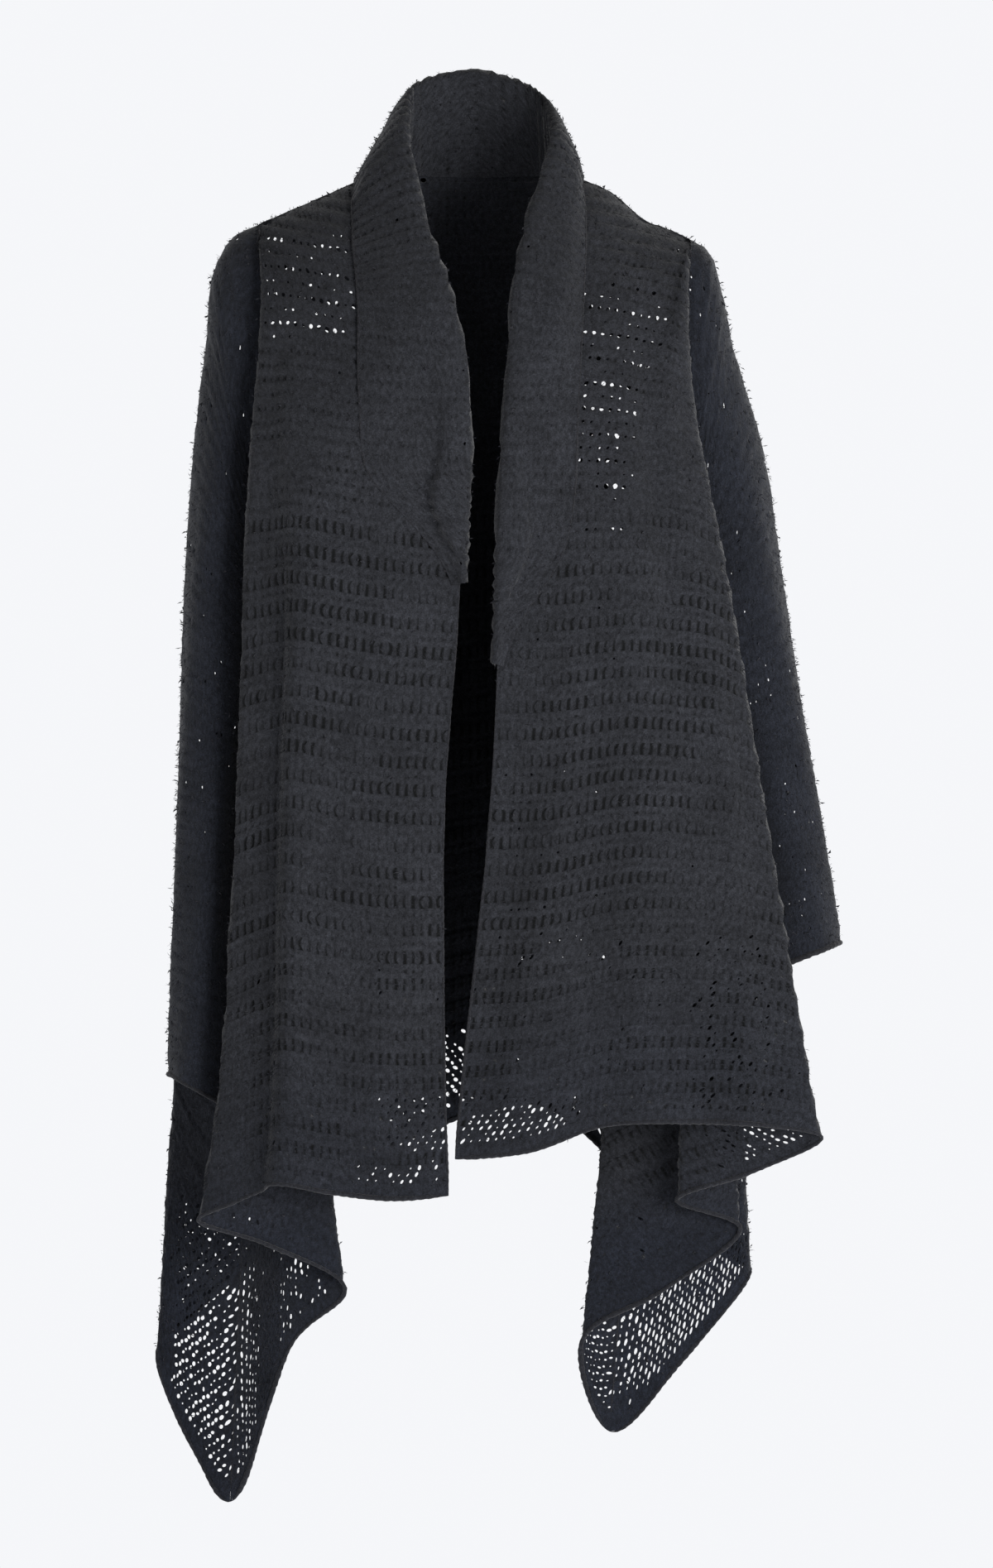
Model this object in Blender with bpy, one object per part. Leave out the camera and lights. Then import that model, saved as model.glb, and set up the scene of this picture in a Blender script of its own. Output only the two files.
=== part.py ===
"""Open-front drape cardigan in fuzzy openwork knit, worn form, hollow and open.

Metres, +Z up. The wearer faces -Y, so the wearer's right is at -X. The origin
lies midway between the two neck points, at the height where the shawl collar's
fall meets the shoulders.

The body is one loop of hanging lines, from the right front's edge, round the
right side seam, the centre back and the left side seam, to the left front's
edge. Each line is a row in a table: where it starts on the shoulder or armhole,
and where it hangs at four heights and at the hem. The cloth between the lines
is a smooth surface, and each piece is a wall of even thickness on its stretch
of that surface.
"""
from collections import namedtuple
from math import cos, pi, sin

import bpy
import numpy as np
from mathutils import Vector
from mathutils.bvhtree import BVHTree

# Cloth and seams
WALL = 0.0024
HALF = WALL / 2
SEAM_GAP = 0.0003
ARMHOLE_EASE = HALF * 1.7
EDGE_EASE = 0.0004

# Heights at which every hanging line is placed, between its top and its hem
BUST_Z = -0.30
WAIST_Z = -0.50
HIP_Z = -0.70
LINE_KEYS = (0.0, 0.16, 0.29, 0.50, 0.73, 1.0)
ROW_STOPS = (0.0, 0.03, 0.07, 0.115, 0.16, 0.22, 0.29, 0.36, 0.43, 0.50,
             0.58, 0.66, 0.74, 0.81, 0.88, 0.94, 1.0)
COLUMN_WIDTH = 0.026
BOW_LIFT = 0.82
BOW_SCALE = 4.2

# Neck, shoulders and armholes
NECK_POINT = {"right": (-0.072, 0.004, 0.012), "left": (0.070, 0.004, 0.012)}
CENTRE_BACK_NECK = (0.0, 0.056, 0.010)
SHOULDER = {  # outline of the shoulder seam from neck point to tip: x, z
    "right": ((-0.072, 0.012), (-0.098, 0.005), (-0.132, -0.010), (-0.160, -0.022),
              (-0.178, -0.030)),
    "left": ((0.070, 0.012), (0.0867, 0.006), (0.105, -0.002), (0.122, -0.016),
             (0.134, -0.0265), (0.148, -0.0315), (0.172, -0.042)),
}
Armhole = namedtuple("Armhole", "tip underarm half_depth")
ARMHOLE = {
    "right": Armhole(tip=(-0.178, 0.0, -0.030), underarm=(-0.160, 0.0, -0.250), half_depth=0.052),
    "left": Armhole(tip=(0.172, 0.0, -0.042), underarm=(0.152, 0.0, -0.250), half_depth=0.050),
}

# A hanging line. "along" is its start: -1 centre back neck, 0 neck point,
# 1 shoulder tip, 2 underarm. "bow" is how far it rounds over the shoulder.
# Chest, bust, waist and hip are x, y; the hem is x, y, z.
Line = namedtuple("Line", "name along bow chest bust waist hip hem")

FRONT_RIGHT = (
    Line("edge", 0.0, 0.026, (-0.0130, -0.112), (-0.0145, -0.127), (-0.0275, -0.130),
         (-0.0275, -0.132), (-0.0240, -0.134, -0.8125)),
    Line("inner", 0.25, 0.030, (-0.058, -0.119), (-0.060, -0.134), (-0.072, -0.138),
         (-0.072, -0.141), (-0.070, -0.142, -0.8150)),
    Line("middle", 0.58, 0.032, (-0.108, -0.118), (-0.110, -0.136), (-0.118, -0.142),
         (-0.120, -0.147), (-0.118, -0.149, -0.8100)),
    Line("ridge", 0.88, 0.026, (-0.151, -0.106), (-0.150, -0.130), (-0.156, -0.138),
         (-0.161, -0.144), (-0.1665, -0.147, -0.8035)),
    Line("valley", 1.15, 0.020, (-0.163, -0.097), (-0.170, -0.108), (-0.177, -0.113),
         (-0.184, -0.117), (-0.194, -0.120, -0.8180)),
    Line("fold_1", 1.36, 0.010, (-0.182, -0.088), (-0.188, -0.098), (-0.195, -0.103),
         (-0.207, -0.107), (-0.2255, -0.110, -0.8320)),
    Line("return", 1.56, 0.0, (-0.171, -0.067), (-0.173, -0.072), (-0.171, -0.078),
         (-0.170, -0.082), (-0.170, -0.084, -0.8530)),
    Line("fold_2", 1.74, 0.0, (-0.163, -0.046), (-0.160, -0.050), (-0.145, -0.054),
         (-0.130, -0.056), (-0.1075, -0.058, -0.8890)),
    Line("drop", 1.88, 0.0, (-0.160, -0.023), (-0.158, -0.024), (-0.154, -0.024),
         (-0.155, -0.026), (-0.150, -0.030, -0.9330)),
    Line("side_seam", 2.0, 0.0, (-0.159, 0.0), (-0.159, 0.002), (-0.166, 0.008),
         (-0.183, 0.010), (-0.2005, -0.004, -1.0620)),
)
BACK = (
    Line("right_panel", 1.86, 0.0, (-0.161, 0.025), (-0.163, 0.024), (-0.185, 0.030),
         (-0.214, 0.028), (-0.2270, 0.010, -1.0270)),
    Line("right_fold", 1.68, 0.0, (-0.166, 0.048), (-0.172, 0.047), (-0.207, 0.050),
         (-0.243, 0.048), (-0.2605, 0.034, -0.9430)),
    Line("right_turn", 1.46, 0.006, (-0.170, 0.070), (-0.168, 0.072), (-0.197, 0.076),
         (-0.226, 0.078), (-0.2350, 0.066, -0.9150)),
    Line("right_blade", 1.16, 0.022, (-0.150, 0.094), (-0.140, 0.098), (-0.150, 0.100),
         (-0.166, 0.100), (-0.1700, 0.094, -0.8580)),
    Line("right_back", 0.55, 0.032, (-0.110, 0.112), (-0.085, 0.116), (-0.088, 0.106),
         (-0.094, 0.120), (-0.0950, 0.122, -0.7880)),
    Line("right_spine", 0.0, 0.026, (-0.060, 0.116), (-0.044, 0.112), (-0.046, 0.112),
         (-0.046, 0.108), (-0.0450, 0.106, -0.7650)),
    Line("centre", -1.0, 0.010, (0.0, 0.112), (0.002, 0.116), (0.004, 0.104),
         (0.004, 0.118), (0.0040, 0.120, -0.7480)),
    Line("left_spine", 0.0, 0.026, (0.060, 0.116), (0.046, 0.112), (0.050, 0.114),
         (0.050, 0.108), (0.0500, 0.106, -0.7420)),
    Line("left_back", 0.55, 0.032, (0.108, 0.112), (0.088, 0.115), (0.094, 0.105),
         (0.100, 0.120), (0.1020, 0.120, -0.7800)),
    Line("left_blade", 1.16, 0.022, (0.146, 0.094), (0.136, 0.096), (0.144, 0.098),
         (0.156, 0.100), (0.1600, 0.096, -0.8450)),
    Line("left_turn", 1.46, 0.006, (0.163, 0.070), (0.160, 0.072), (0.182, 0.074),
         (0.203, 0.078), (0.2110, 0.070, -0.8700)),
    Line("left_fold", 1.68, 0.0, (0.159, 0.048), (0.160, 0.046), (0.188, 0.046),
         (0.210, 0.046), (0.2195, 0.036, -0.8800)),
    Line("left_panel", 1.86, 0.0, (0.154, 0.025), (0.153, 0.023), (0.168, 0.022),
         (0.182, 0.018), (0.1650, 0.008, -0.9480)),
)
FRONT_LEFT = (
    Line("edge", 0.0, 0.026, (0.0290, -0.112), (0.0200, -0.127), (0.0100, -0.130),
         (-0.0105, -0.132), (-0.0185, -0.134, -0.7830)),
    Line("inner", 0.25, 0.030, (0.060, -0.119), (0.062, -0.136), (0.060, -0.141),
         (0.046, -0.143), (0.0400, -0.144, -0.7770)),
    Line("middle", 0.58, 0.030, (0.106, -0.118), (0.112, -0.137), (0.114, -0.145),
         (0.106, -0.147), (0.1000, -0.144, -0.7570)),
    Line("side", 0.88, 0.024, (0.142, -0.108), (0.156, -0.129), (0.170, -0.141),
         (0.174, -0.146), (0.1700, -0.140, -0.7530)),
    Line("near_fold", 1.15, 0.020, (0.160, -0.100), (0.182, -0.120), (0.207, -0.134),
         (0.226, -0.141), (0.2300, -0.140, -0.7560)),
    Line("fold_1", 1.36, 0.010, (0.178, -0.090), (0.198, -0.106), (0.231, -0.122),
         (0.264, -0.128), (0.2765, -0.126, -0.7660)),
    Line("return", 1.50, 0.0, (0.169, -0.072), (0.176, -0.085), (0.196, -0.102),
         (0.216, -0.106), (0.2180, -0.104, -0.7950)),
    Line("fold_2", 1.62, 0.0, (0.162, -0.060), (0.160, -0.070), (0.160, -0.084),
         (0.162, -0.088), (0.1600, -0.086, -0.8170)),
    Line("fold_3", 1.72, 0.0, (0.158, -0.047), (0.160, -0.053), (0.181, -0.063),
         (0.203, -0.068), (0.2115, -0.066, -0.8400)),
    Line("inside", 1.82, 0.0, (0.154, -0.033), (0.153, -0.036), (0.158, -0.044),
         (0.160, -0.048), (0.1500, -0.048, -0.8900)),
    Line("fold_4", 1.91, 0.0, (0.152, -0.017), (0.150, -0.018), (0.136, -0.026),
         (0.108, -0.030), (0.0835, -0.032, -0.9330)),
    Line("side_seam", 2.0, 0.0, (0.152, 0.0), (0.150, 0.002), (0.146, -0.002),
         (0.130, -0.008), (0.1060, -0.014, -1.0050)),
)

# A sleeve section: its outer and inner points x, z, its centre's y and half depth
Section = namedtuple("Section", "name outer inner centre_y half_depth")
SLEEVE = {
    "right": (
        Section("armhole", (-0.178, -0.030), (-0.160, -0.250), 0.0, 0.052),
        Section("cap", (-0.1955, -0.038), (-0.1665, -0.260), 0.0, 0.054),
        Section("crown", (-0.2115, -0.062), (-0.1720, -0.272), 0.0, 0.056),
        Section("upper_arm", (-0.2187, -0.130), (-0.1755, -0.290), -0.002, 0.055),
        Section("biceps", (-0.2275, -0.205), (-0.1785, -0.316), -0.006, 0.052),
        Section("above_elbow", (-0.2375, -0.325), (-0.1825, -0.380), -0.014, 0.048),
        Section("elbow", (-0.2425, -0.450), (-0.1885, -0.470), -0.024, 0.044),
        Section("forearm", (-0.2447, -0.590), (-0.1940, -0.605), -0.031, 0.041),
        Section("cuff", (-0.2495, -0.716), (-0.2010, -0.743), -0.036, 0.039),
    ),
    "left": (
        Section("armhole", (0.172, -0.042), (0.152, -0.250), 0.0, 0.050),
        Section("cap", (0.1845, -0.050), (0.1585, -0.260), 0.0, 0.052),
        Section("crown", (0.1955, -0.080), (0.1645, -0.272), 0.0, 0.054),
        Section("upper_arm", (0.2047, -0.130), (0.169, -0.288), 0.001, 0.053),
        Section("biceps", (0.2265, -0.205), (0.172, -0.306), 0.002, 0.051),
        Section("above_elbow", (0.2465, -0.315), (0.182, -0.362), 0.000, 0.047),
        Section("elbow", (0.2620, -0.415), (0.200, -0.437), -0.006, 0.043),
        Section("forearm", (0.2770, -0.520), (0.217, -0.536), -0.014, 0.040),
        Section("cuff", (0.2920, -0.610), (0.233, -0.633), -0.020, 0.037),
    ),
}
SLEEVE_SIDES = 20
SLEEVE_STOPS = 18
SLEEVE_CROWDING = 1.5  # above 1 the rows crowd towards the shoulder

# A collar station. "along" follows the seam: 0 the right front's lower end, 1 the
# right neck point, 2 centre back, 3 the left neck point, 4 the left lower end.
# The roll is the collar's crest and the fall is its free edge, both x, y, z.
Station = namedtuple("Station", "name along roll fall lift_from")
COLLAR = (
    Station("right_end", 0.0, (-0.0115, -0.134, -0.320), (-0.0350, -0.140, -0.325), (0, -1, 0)),
    Station("right_low", 0.22, (-0.0085, -0.135, -0.240), (-0.0880, -0.145, -0.240), (0, -1, 0)),
    Station("right_chest", 0.40, (-0.0075, -0.128, -0.175), (-0.0960, -0.135, -0.172), (0, -1, 0)),
    Station("right_bend", 0.60, (-0.0180, -0.112, -0.102), (-0.0970, -0.115, -0.098), (0, -1, 0)),
    Station("right_collarbone", 0.77, (-0.0400, -0.072, -0.030), (-0.1010, -0.070, -0.046),
            (-0.1, -0.8, 0.6)),
    Station("right_neck", 1.0, (-0.0560, -0.008, 0.060), (-0.1010, 0.004, 0.010), (-0.3, 0, 1)),
    Station("right_nape", 1.5, (-0.0480, 0.044, 0.088), (-0.0860, 0.088, -0.012), (-0.2, 0.7, 0.7)),
    Station("nape", 2.0, (-0.0040, 0.064, 0.0985), (0.0, 0.120, -0.035), (0, 1, 0.4)),
    Station("left_nape", 2.5, (0.0440, 0.044, 0.083), (0.0760, 0.088, -0.012), (0.2, 0.7, 0.7)),
    Station("left_neck", 3.0, (0.0590, -0.008, 0.052), (0.0860, 0.004, 0.014), (0.3, 0, 1)),
    Station("left_collarbone", 3.18, (0.0385, -0.072, -0.022), (0.0880, -0.070, -0.038),
            (0.1, -0.8, 0.6)),
    Station("left_bend", 3.31, (0.0250, -0.112, -0.088), (0.0850, -0.115, -0.098), (0, -1, 0)),
    Station("left_chest", 3.48, (0.0225, -0.128, -0.175), (0.0810, -0.135, -0.172), (0, -1, 0)),
    Station("left_low", 3.69, (0.0175, -0.137, -0.270), (0.0740, -0.145, -0.275), (0, -1, 0)),
    Station("left_end", 4.0, (0.0135, -0.136, -0.385), (0.0320, -0.142, -0.392), (0, -1, 0)),
)
COLLAR_LOW = {"right": 0.31, "left": 0.38}
COLLAR_STOPS = 65
COLLAR_SECTION = (0.0, 1.0, 1.5, 2.0, 2.5, 3.0, 3.5, 4.0, 4.5, 5.0)
COLLAR_LIFT = WALL + 0.0024
COLLAR_CLEAR = WALL + 0.0014
ROLL_RADIUS = 0.0040
ROLL_REACH = 0.0038
ROLL_CLEAR = 0.0008
FALL_FROM = 6

YARN_COLOUR = (0.022, 0.023, 0.026, 1.0)


def unit(vectors):
    vectors = np.asarray(vectors, dtype=float)
    lengths = np.linalg.norm(vectors, axis=-1, keepdims=True)
    return vectors / np.maximum(lengths, 1e-12)


def smooth(stops, values, at):
    """Points of a smooth curve through values at stops, read at each place in at."""
    stops = np.asarray(stops, dtype=float)
    values = np.asarray(values, dtype=float)
    at = np.atleast_1d(np.asarray(at, dtype=float))
    steps = np.diff(stops)
    slopes = np.diff(values, axis=0) / steps[:, None]
    tangents = np.empty_like(values)
    tangents[0] = slopes[0]
    tangents[-1] = slopes[-1]
    share = (steps[1:] / (steps[:-1] + steps[1:]))[:, None]
    tangents[1:-1] = slopes[:-1] * share + slopes[1:] * (1 - share)
    piece = np.clip(np.searchsorted(stops, at, side="right") - 1, 0, len(steps) - 1)
    step = steps[piece]
    t = ((at - stops[piece]) / step)[:, None]
    step = step[:, None]
    return ((2 * t**3 - 3 * t**2 + 1) * values[piece] + (t**3 - 2 * t**2 + t) * step * tangents[piece]
            + (3 * t**2 - 2 * t**3) * values[piece + 1] + (t**3 - t**2) * step * tangents[piece + 1])


def armhole_point(side, turn):
    """A point of the armhole: turn 0 at the shoulder tip, pi at the underarm, front below pi."""
    hole = ARMHOLE[side]
    tip = np.array(hole.tip)
    underarm = np.array(hole.underarm)
    centre = (tip + underarm) / 2
    return centre + (tip - underarm) / 2 * cos(turn) + np.array((0, -hole.half_depth, 0)) * sin(turn)


def shoulder_point(side, share):
    outline = np.array(SHOULDER[side])
    reach = np.concatenate(([0], np.cumsum(np.linalg.norm(np.diff(outline, axis=0), axis=1))))
    x, z = smooth(reach / reach[-1], outline, share)[0]
    y = NECK_POINT[side][1] * (1 - share) ** 2
    return np.array((x, y, z))


def neckline_point(side, share):
    """The back neckline: share 0 at the neck point, 1 at the centre back."""
    neck = np.array(NECK_POINT[side])
    centre = np.array(CENTRE_BACK_NECK)
    turn = share * pi / 2
    return np.array((neck[0] * cos(turn), neck[1] + (centre[1] - neck[1]) * sin(turn),
                     neck[2] + (centre[2] - neck[2]) * share))


SHOULDER_PLACES = ((0.0, 1.0), (3.0, 4.0), (6.0, 7.0), (9.0, 10.0))


def top_point(place):
    """The body's whole top edge: 0 right neck point, 1 tip, 2 underarm, 3 tip, 4 neck
    point, 5 centre back, 6 left neck point, 7 tip, 8 underarm, 9 tip, 10 neck point."""
    side = "right" if place <= 5 else "left"
    if place > 5:
        place = 10 - place
    if place <= 1:
        return shoulder_point(side, max(place, 0.0))
    if place <= 3:
        turn = (place - 1) * pi
        return armhole_point(side, turn)
    if place <= 4:
        return shoulder_point(side, 4 - place)
    return neckline_point(side, place - 4)


def body_loop():
    """Every hanging line in order, with its place on the top edge."""
    loop = [(line.along, line) for line in FRONT_RIGHT]
    right = [line for line in BACK if line.hem[0] <= 0.005]
    left = BACK[len(right):]
    loop += [(4 - line.along, line) for line in right]
    loop += [(6 + line.along, line) for line in left]
    loop += [(10 - line.along, line) for line in reversed(FRONT_LEFT)]
    return loop


class Body:
    """The smooth surface of fronts and back: point(u, v), u along the loop, v down a line."""

    def __init__(self):
        loop = body_loop()
        self.places = np.array([[place] for place, _ in loop])
        self.bows = np.array([[line.bow] for _, line in loop])
        self.keys = np.array([line.chest + line.bust + line.waist + line.hip + line.hem
                              for _, line in loop])
        across = np.linalg.norm(np.diff(self.keys[:, 6:8], axis=0), axis=1)
        across += np.linalg.norm(np.diff(self.keys[:, 8:11], axis=0), axis=1)
        self.width = across / 2
        self.stops = np.concatenate(([0], np.cumsum(self.width ** 0.6)))
        self.right_seam = self.stops[len(FRONT_RIGHT) - 1]
        self.left_seam = self.stops[len(loop) - len(FRONT_LEFT)]
        self.end = self.stops[-1]

    def place_at(self, u):
        """The place on the top edge where the line at u starts."""
        return float(np.clip(smooth(self.stops, self.places, u)[0, 0], 0, 10))

    def line(self, u, rows):
        place = self.place_at(u)
        bow = smooth(self.stops, self.bows, u)[0, 0]
        keys = smooth(self.stops, self.keys, u)[0]
        top = top_point(place)
        chest_z = (top[2] + BUST_Z) / 2
        points = np.array([top, (*keys[0:2], chest_z), (*keys[2:4], BUST_Z),
                           (*keys[4:6], WAIST_Z), (*keys[6:8], HIP_Z), keys[8:11]])
        rows = np.atleast_1d(rows)
        hung = smooth(LINE_KEYS, points, rows)
        facing = -1.0 if place < 2 or place > 8 else 1.0
        share = np.clip(rows / LINE_KEYS[1], 0, 1)
        over = share * (1 - share) ** 2 * BOW_SCALE * bow
        off_shoulder = min(abs(place - 2), abs(place - 8), 1.0)
        lift = BOW_LIFT * max(0.0, (off_shoulder - 0.6) / 0.4)
        hung[:, 1] += over * facing * (1 - lift ** 2) ** 0.5
        hung[:, 2] += over * lift
        return hung

    def columns(self, first, last):
        """Places along the loop, closer where the cloth is narrow between lines."""
        places = [first]
        for start, stop, width in zip(self.stops[:-1], self.stops[1:], self.width):
            if start < first - 1e-9 or stop > last + 1e-9:
                continue
            count = max(2, int(np.ceil(width / COLUMN_WIDTH)))
            places += list(start + (stop - start) * np.arange(1, count + 1) / count)
        return np.array(places)

    def grid(self, places, rows=ROW_STOPS):
        """Points and outward directions on a grid of columns and rows."""
        rows = np.array(rows)
        nudge = 1e-3
        points = np.array([self.line(u, rows) for u in places])
        before = np.array([self.line(max(u - nudge, 0), rows) for u in places])
        after = np.array([self.line(min(u + nudge, self.end), rows) for u in places])
        lower = np.minimum(rows + nudge, 1)
        upper = np.maximum(rows - nudge, 0)
        down = unit(np.array([self.line(u, lower) - self.line(u, upper) for u in places]))
        along = unit(after - before)
        outward = unit(np.cross(along, down))
        return points, outward, along


def side_edges(points, along, starts_at_seam, ends_at_seam):
    """Draws the side seams back by half the gap."""
    if starts_at_seam:
        points[0] += along[0] * SEAM_GAP / 2
    if ends_at_seam:
        points[-1] -= along[-1] * SEAM_GAP / 2


def shoulder_edges(body, places, points, outward, facing):
    """Along the shoulder seam the wall's edge is upright, half the gap from the seam."""
    for column, u in enumerate(places):
        place = body.place_at(u)
        if any(low <= place <= high for low, high in SHOULDER_PLACES):
            ahead = top_point(place + 0.01) - top_point(max(place - 0.01, 0))
            ahead[1] = 0
            upright = unit(np.cross(unit(ahead), (0, -1, 0)))
            upright = upright if upright[2] > 0 else -upright
            outward[column, 0] = upright
            points[column, 0, 1] += facing * SEAM_GAP / 2


def armhole_turn(place):
    """How far round the armhole a place on the top edge lies, or None off the armhole."""
    if 1 <= place <= 3:
        return (place - 1) * pi
    if 7 <= place <= 9:
        return (9 - place) * pi
    return None


def side_share(turn):
    """0 over the shoulder, 1 from the front of the armhole down, where the body turns aside."""
    low = (1 - cos(turn)) / 2
    return float(np.clip((low - 0.05) / 0.20, 0, 1))


def armhole_radial(side, turn):
    """The direction out of the armhole's ring, in its own plane, and the ring's axis."""
    ahead = armhole_point(side, turn + 0.01) - armhole_point(side, turn - 0.01)
    hole = ARMHOLE[side]
    axis = unit(np.cross(np.array(hole.tip) - np.array(hole.underarm), (0, 1, 0)))
    away = -1.0 if side == "right" else 1.0
    axis = axis if axis[0] * away > 0 else -axis
    radial = unit(np.cross(unit(ahead), axis))
    centre = (np.array(hole.tip) + np.array(hole.underarm)) / 2
    if np.dot(radial, armhole_point(side, turn) - centre) < 0:
        radial = -radial
    return radial, axis


def armhole_edges(body, places, outward):
    """Along the armhole the wall's edge is square to the ring, but for the underarm."""
    for column, u in enumerate(places):
        place = body.place_at(u)
        turn = armhole_turn(place)
        if turn is None:
            continue
        radial, _ = armhole_radial("right" if place < 5 else "left", turn)
        share = side_share(turn)
        outward[column, 0] = unit(radial * (1 - share) + outward[column, 0] * share)


def new_object(name, vertices, faces):
    mesh = bpy.data.meshes.new(name)
    mesh.from_pydata([tuple(vertex) for vertex in vertices], [], faces)
    mesh.update()
    mesh.shade_smooth()
    mesh.set_sharp_from_angle(angle=1.0)
    thing = bpy.data.objects.new(name, mesh)
    bpy.context.collection.objects.link(thing)
    thing.data.materials.append(yarn())
    return thing


def yarn():
    material = bpy.data.materials.get("mohair_knit")
    if material is None:
        material = bpy.data.materials.new("mohair_knit")
        material.use_nodes = True
        shader = material.node_tree.nodes["Principled BSDF"]
        shader.inputs["Base Color"].default_value = YARN_COLOUR
        shader.inputs["Roughness"].default_value = 0.95
        shader.inputs["Metallic"].default_value = 0.0
    return material


def wall(name, points, outward, ring=False):
    """A closed wall of even thickness on a grid of points; a ring closes its columns."""
    columns, rows = points.shape[:2]
    outer = points + outward * HALF
    inner = points - outward * HALF
    vertices = np.concatenate((outer.reshape(-1, 3), inner.reshape(-1, 3)))
    back = columns * rows

    def at(column, row):
        return (column % columns) * rows + row

    faces = []
    spans = columns if ring else columns - 1
    for column in range(spans):
        for row in range(rows - 1):
            a, b = at(column, row), at(column + 1, row)
            c, d = at(column + 1, row + 1), at(column, row + 1)
            faces.append((d, c, b, a))
            faces.append((a + back, b + back, c + back, d + back))
        for row, turned in ((0, False), (rows - 1, True)):
            a, b = at(column, row), at(column + 1, row)
            rim = (a, b, b + back, a + back)
            faces.append(rim[::-1] if turned else rim)
    if not ring:
        for column, turned in ((0, True), (columns - 1, False)):
            for row in range(rows - 1):
                a, b = at(column, row), at(column, row + 1)
                rim = (a, b, b + back, a + back)
                faces.append(rim[::-1] if turned else rim)
    thing = new_object(name, vertices, faces)
    settle_faces(thing)
    return thing


def settle_faces(thing):
    """Turns the faces outward if the wall came out inside out."""
    mesh = thing.data
    volume = 0.0
    mesh.calc_loop_triangles()
    for triangle in mesh.loop_triangles:
        a, b, c = (mesh.vertices[index].co for index in triangle.vertices)
        volume += a.dot(b.cross(c))
    if volume < 0:
        mesh.flip_normals()


def build_panel(body, name, first, last, starts_at_seam, ends_at_seam, facing):
    places = body.columns(first, last)
    points, outward, along = body.grid(places)
    side_edges(points, along, starts_at_seam, ends_at_seam)
    shoulder_edges(body, places, points, outward, facing)
    armhole_edges(body, places, outward)
    wall(name, points, outward)
    return places, points


def build_sleeve(side):
    """A tube of tilted oval sections, from the armhole to the open cuff."""
    sections = SLEEVE[side]
    table = np.array([section.outer + section.inner + (section.centre_y, section.half_depth)
                      for section in sections])
    middles = (table[:, 0:2] + table[:, 2:4]) / 2
    reach = np.concatenate(([0], np.cumsum(np.linalg.norm(np.diff(middles, axis=0), axis=1))))
    rows = smooth(reach / reach[-1], table, np.linspace(0, 1, SLEEVE_STOPS) ** SLEEVE_CROWDING)
    points = np.empty((SLEEVE_SIDES, SLEEVE_STOPS, 3))
    for column in range(SLEEVE_SIDES):
        turn = 2 * pi * column / SLEEVE_SIDES
        for row, (outer_x, outer_z, inner_x, inner_z, centre_y, depth) in enumerate(rows):
            outer = np.array((outer_x, 0, outer_z))
            inner = np.array((inner_x, 0, inner_z))
            centre = (outer + inner) / 2 + np.array((0, centre_y, 0))
            points[column, row] = (centre + (outer - inner) / 2 * cos(turn)
                                   + np.array((0, -depth, 0)) * sin(turn))
    around = np.roll(points, -1, axis=0) - np.roll(points, 1, axis=0)
    down = np.gradient(points, axis=1)
    outward = unit(np.cross(around, down))
    centres = points.mean(axis=0, keepdims=True)
    if np.sum(outward * (points - centres)) < 0:
        outward = -outward
    for column in range(SLEEVE_SIDES):
        turn = 2 * pi * column / SLEEVE_SIDES
        radial, axis = armhole_radial(side, turn)
        outward[column, 0] = radial
        points[column, 0] += axis * (SEAM_GAP + ARMHOLE_EASE * side_share(turn))
    wall(f"sleeve_{side}", points, outward, ring=True)


def between(stops, points, at):
    """A point on the straight-sided line through points."""
    return np.array([np.interp(at, stops, points[:, axis]) for axis in range(3)])


def collar_seam(edges, along):
    """A point beside the edge that the collar is sewn to, just clear of it."""
    clear = HALF + SEAM_GAP + EDGE_EASE
    if along < 1:
        point = between(ROW_STOPS, edges["right"], COLLAR_LOW["right"] * (1 - along))
        return point + np.array((clear, HALF * min(1.0, (1 - along) * 6), 0))
    if along > 3:
        point = between(ROW_STOPS, edges["left"], COLLAR_LOW["left"] * (along - 3))
        return point + np.array((-clear, HALF * min(1.0, (along - 3) * 6), 0))
    point = between(edges["places"], edges["neckline"], along + 3)
    inward = unit(np.array((-point[0], -(point[1] - NECK_POINT["right"][1]) * 1.3, 0)))
    lapped = min(1.0, 3 * min(along - 1, 3 - along))
    return point + inward * (clear + HALF * lapped)


def collar_section(seam, roll, fall, lift):
    """Points across the collar: seam, back of the roll, crest, front of the roll, fall."""
    down = unit(fall - roll)
    out = unit(lift - down * np.dot(lift, down))
    roll = roll - down * max(0.0, np.dot(roll - seam, down) + ROLL_REACH)
    centre = roll + down * ROLL_RADIUS
    back = centre - out * ROLL_RADIUS
    back = back - down * max(0.0, np.dot(back - seam, down) + ROLL_CLEAR)
    over = roll + (fall - roll) * 0.4 + out * ROLL_RADIUS * 1.2
    bends = np.array((seam, back, roll, centre + out * ROLL_RADIUS, over, fall))
    reach = np.concatenate(([0], np.cumsum(np.linalg.norm(np.diff(bends, axis=0), axis=1))))
    at = np.interp(COLLAR_SECTION, np.arange(len(bends)), reach)
    return smooth(reach, bends, at)


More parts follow.
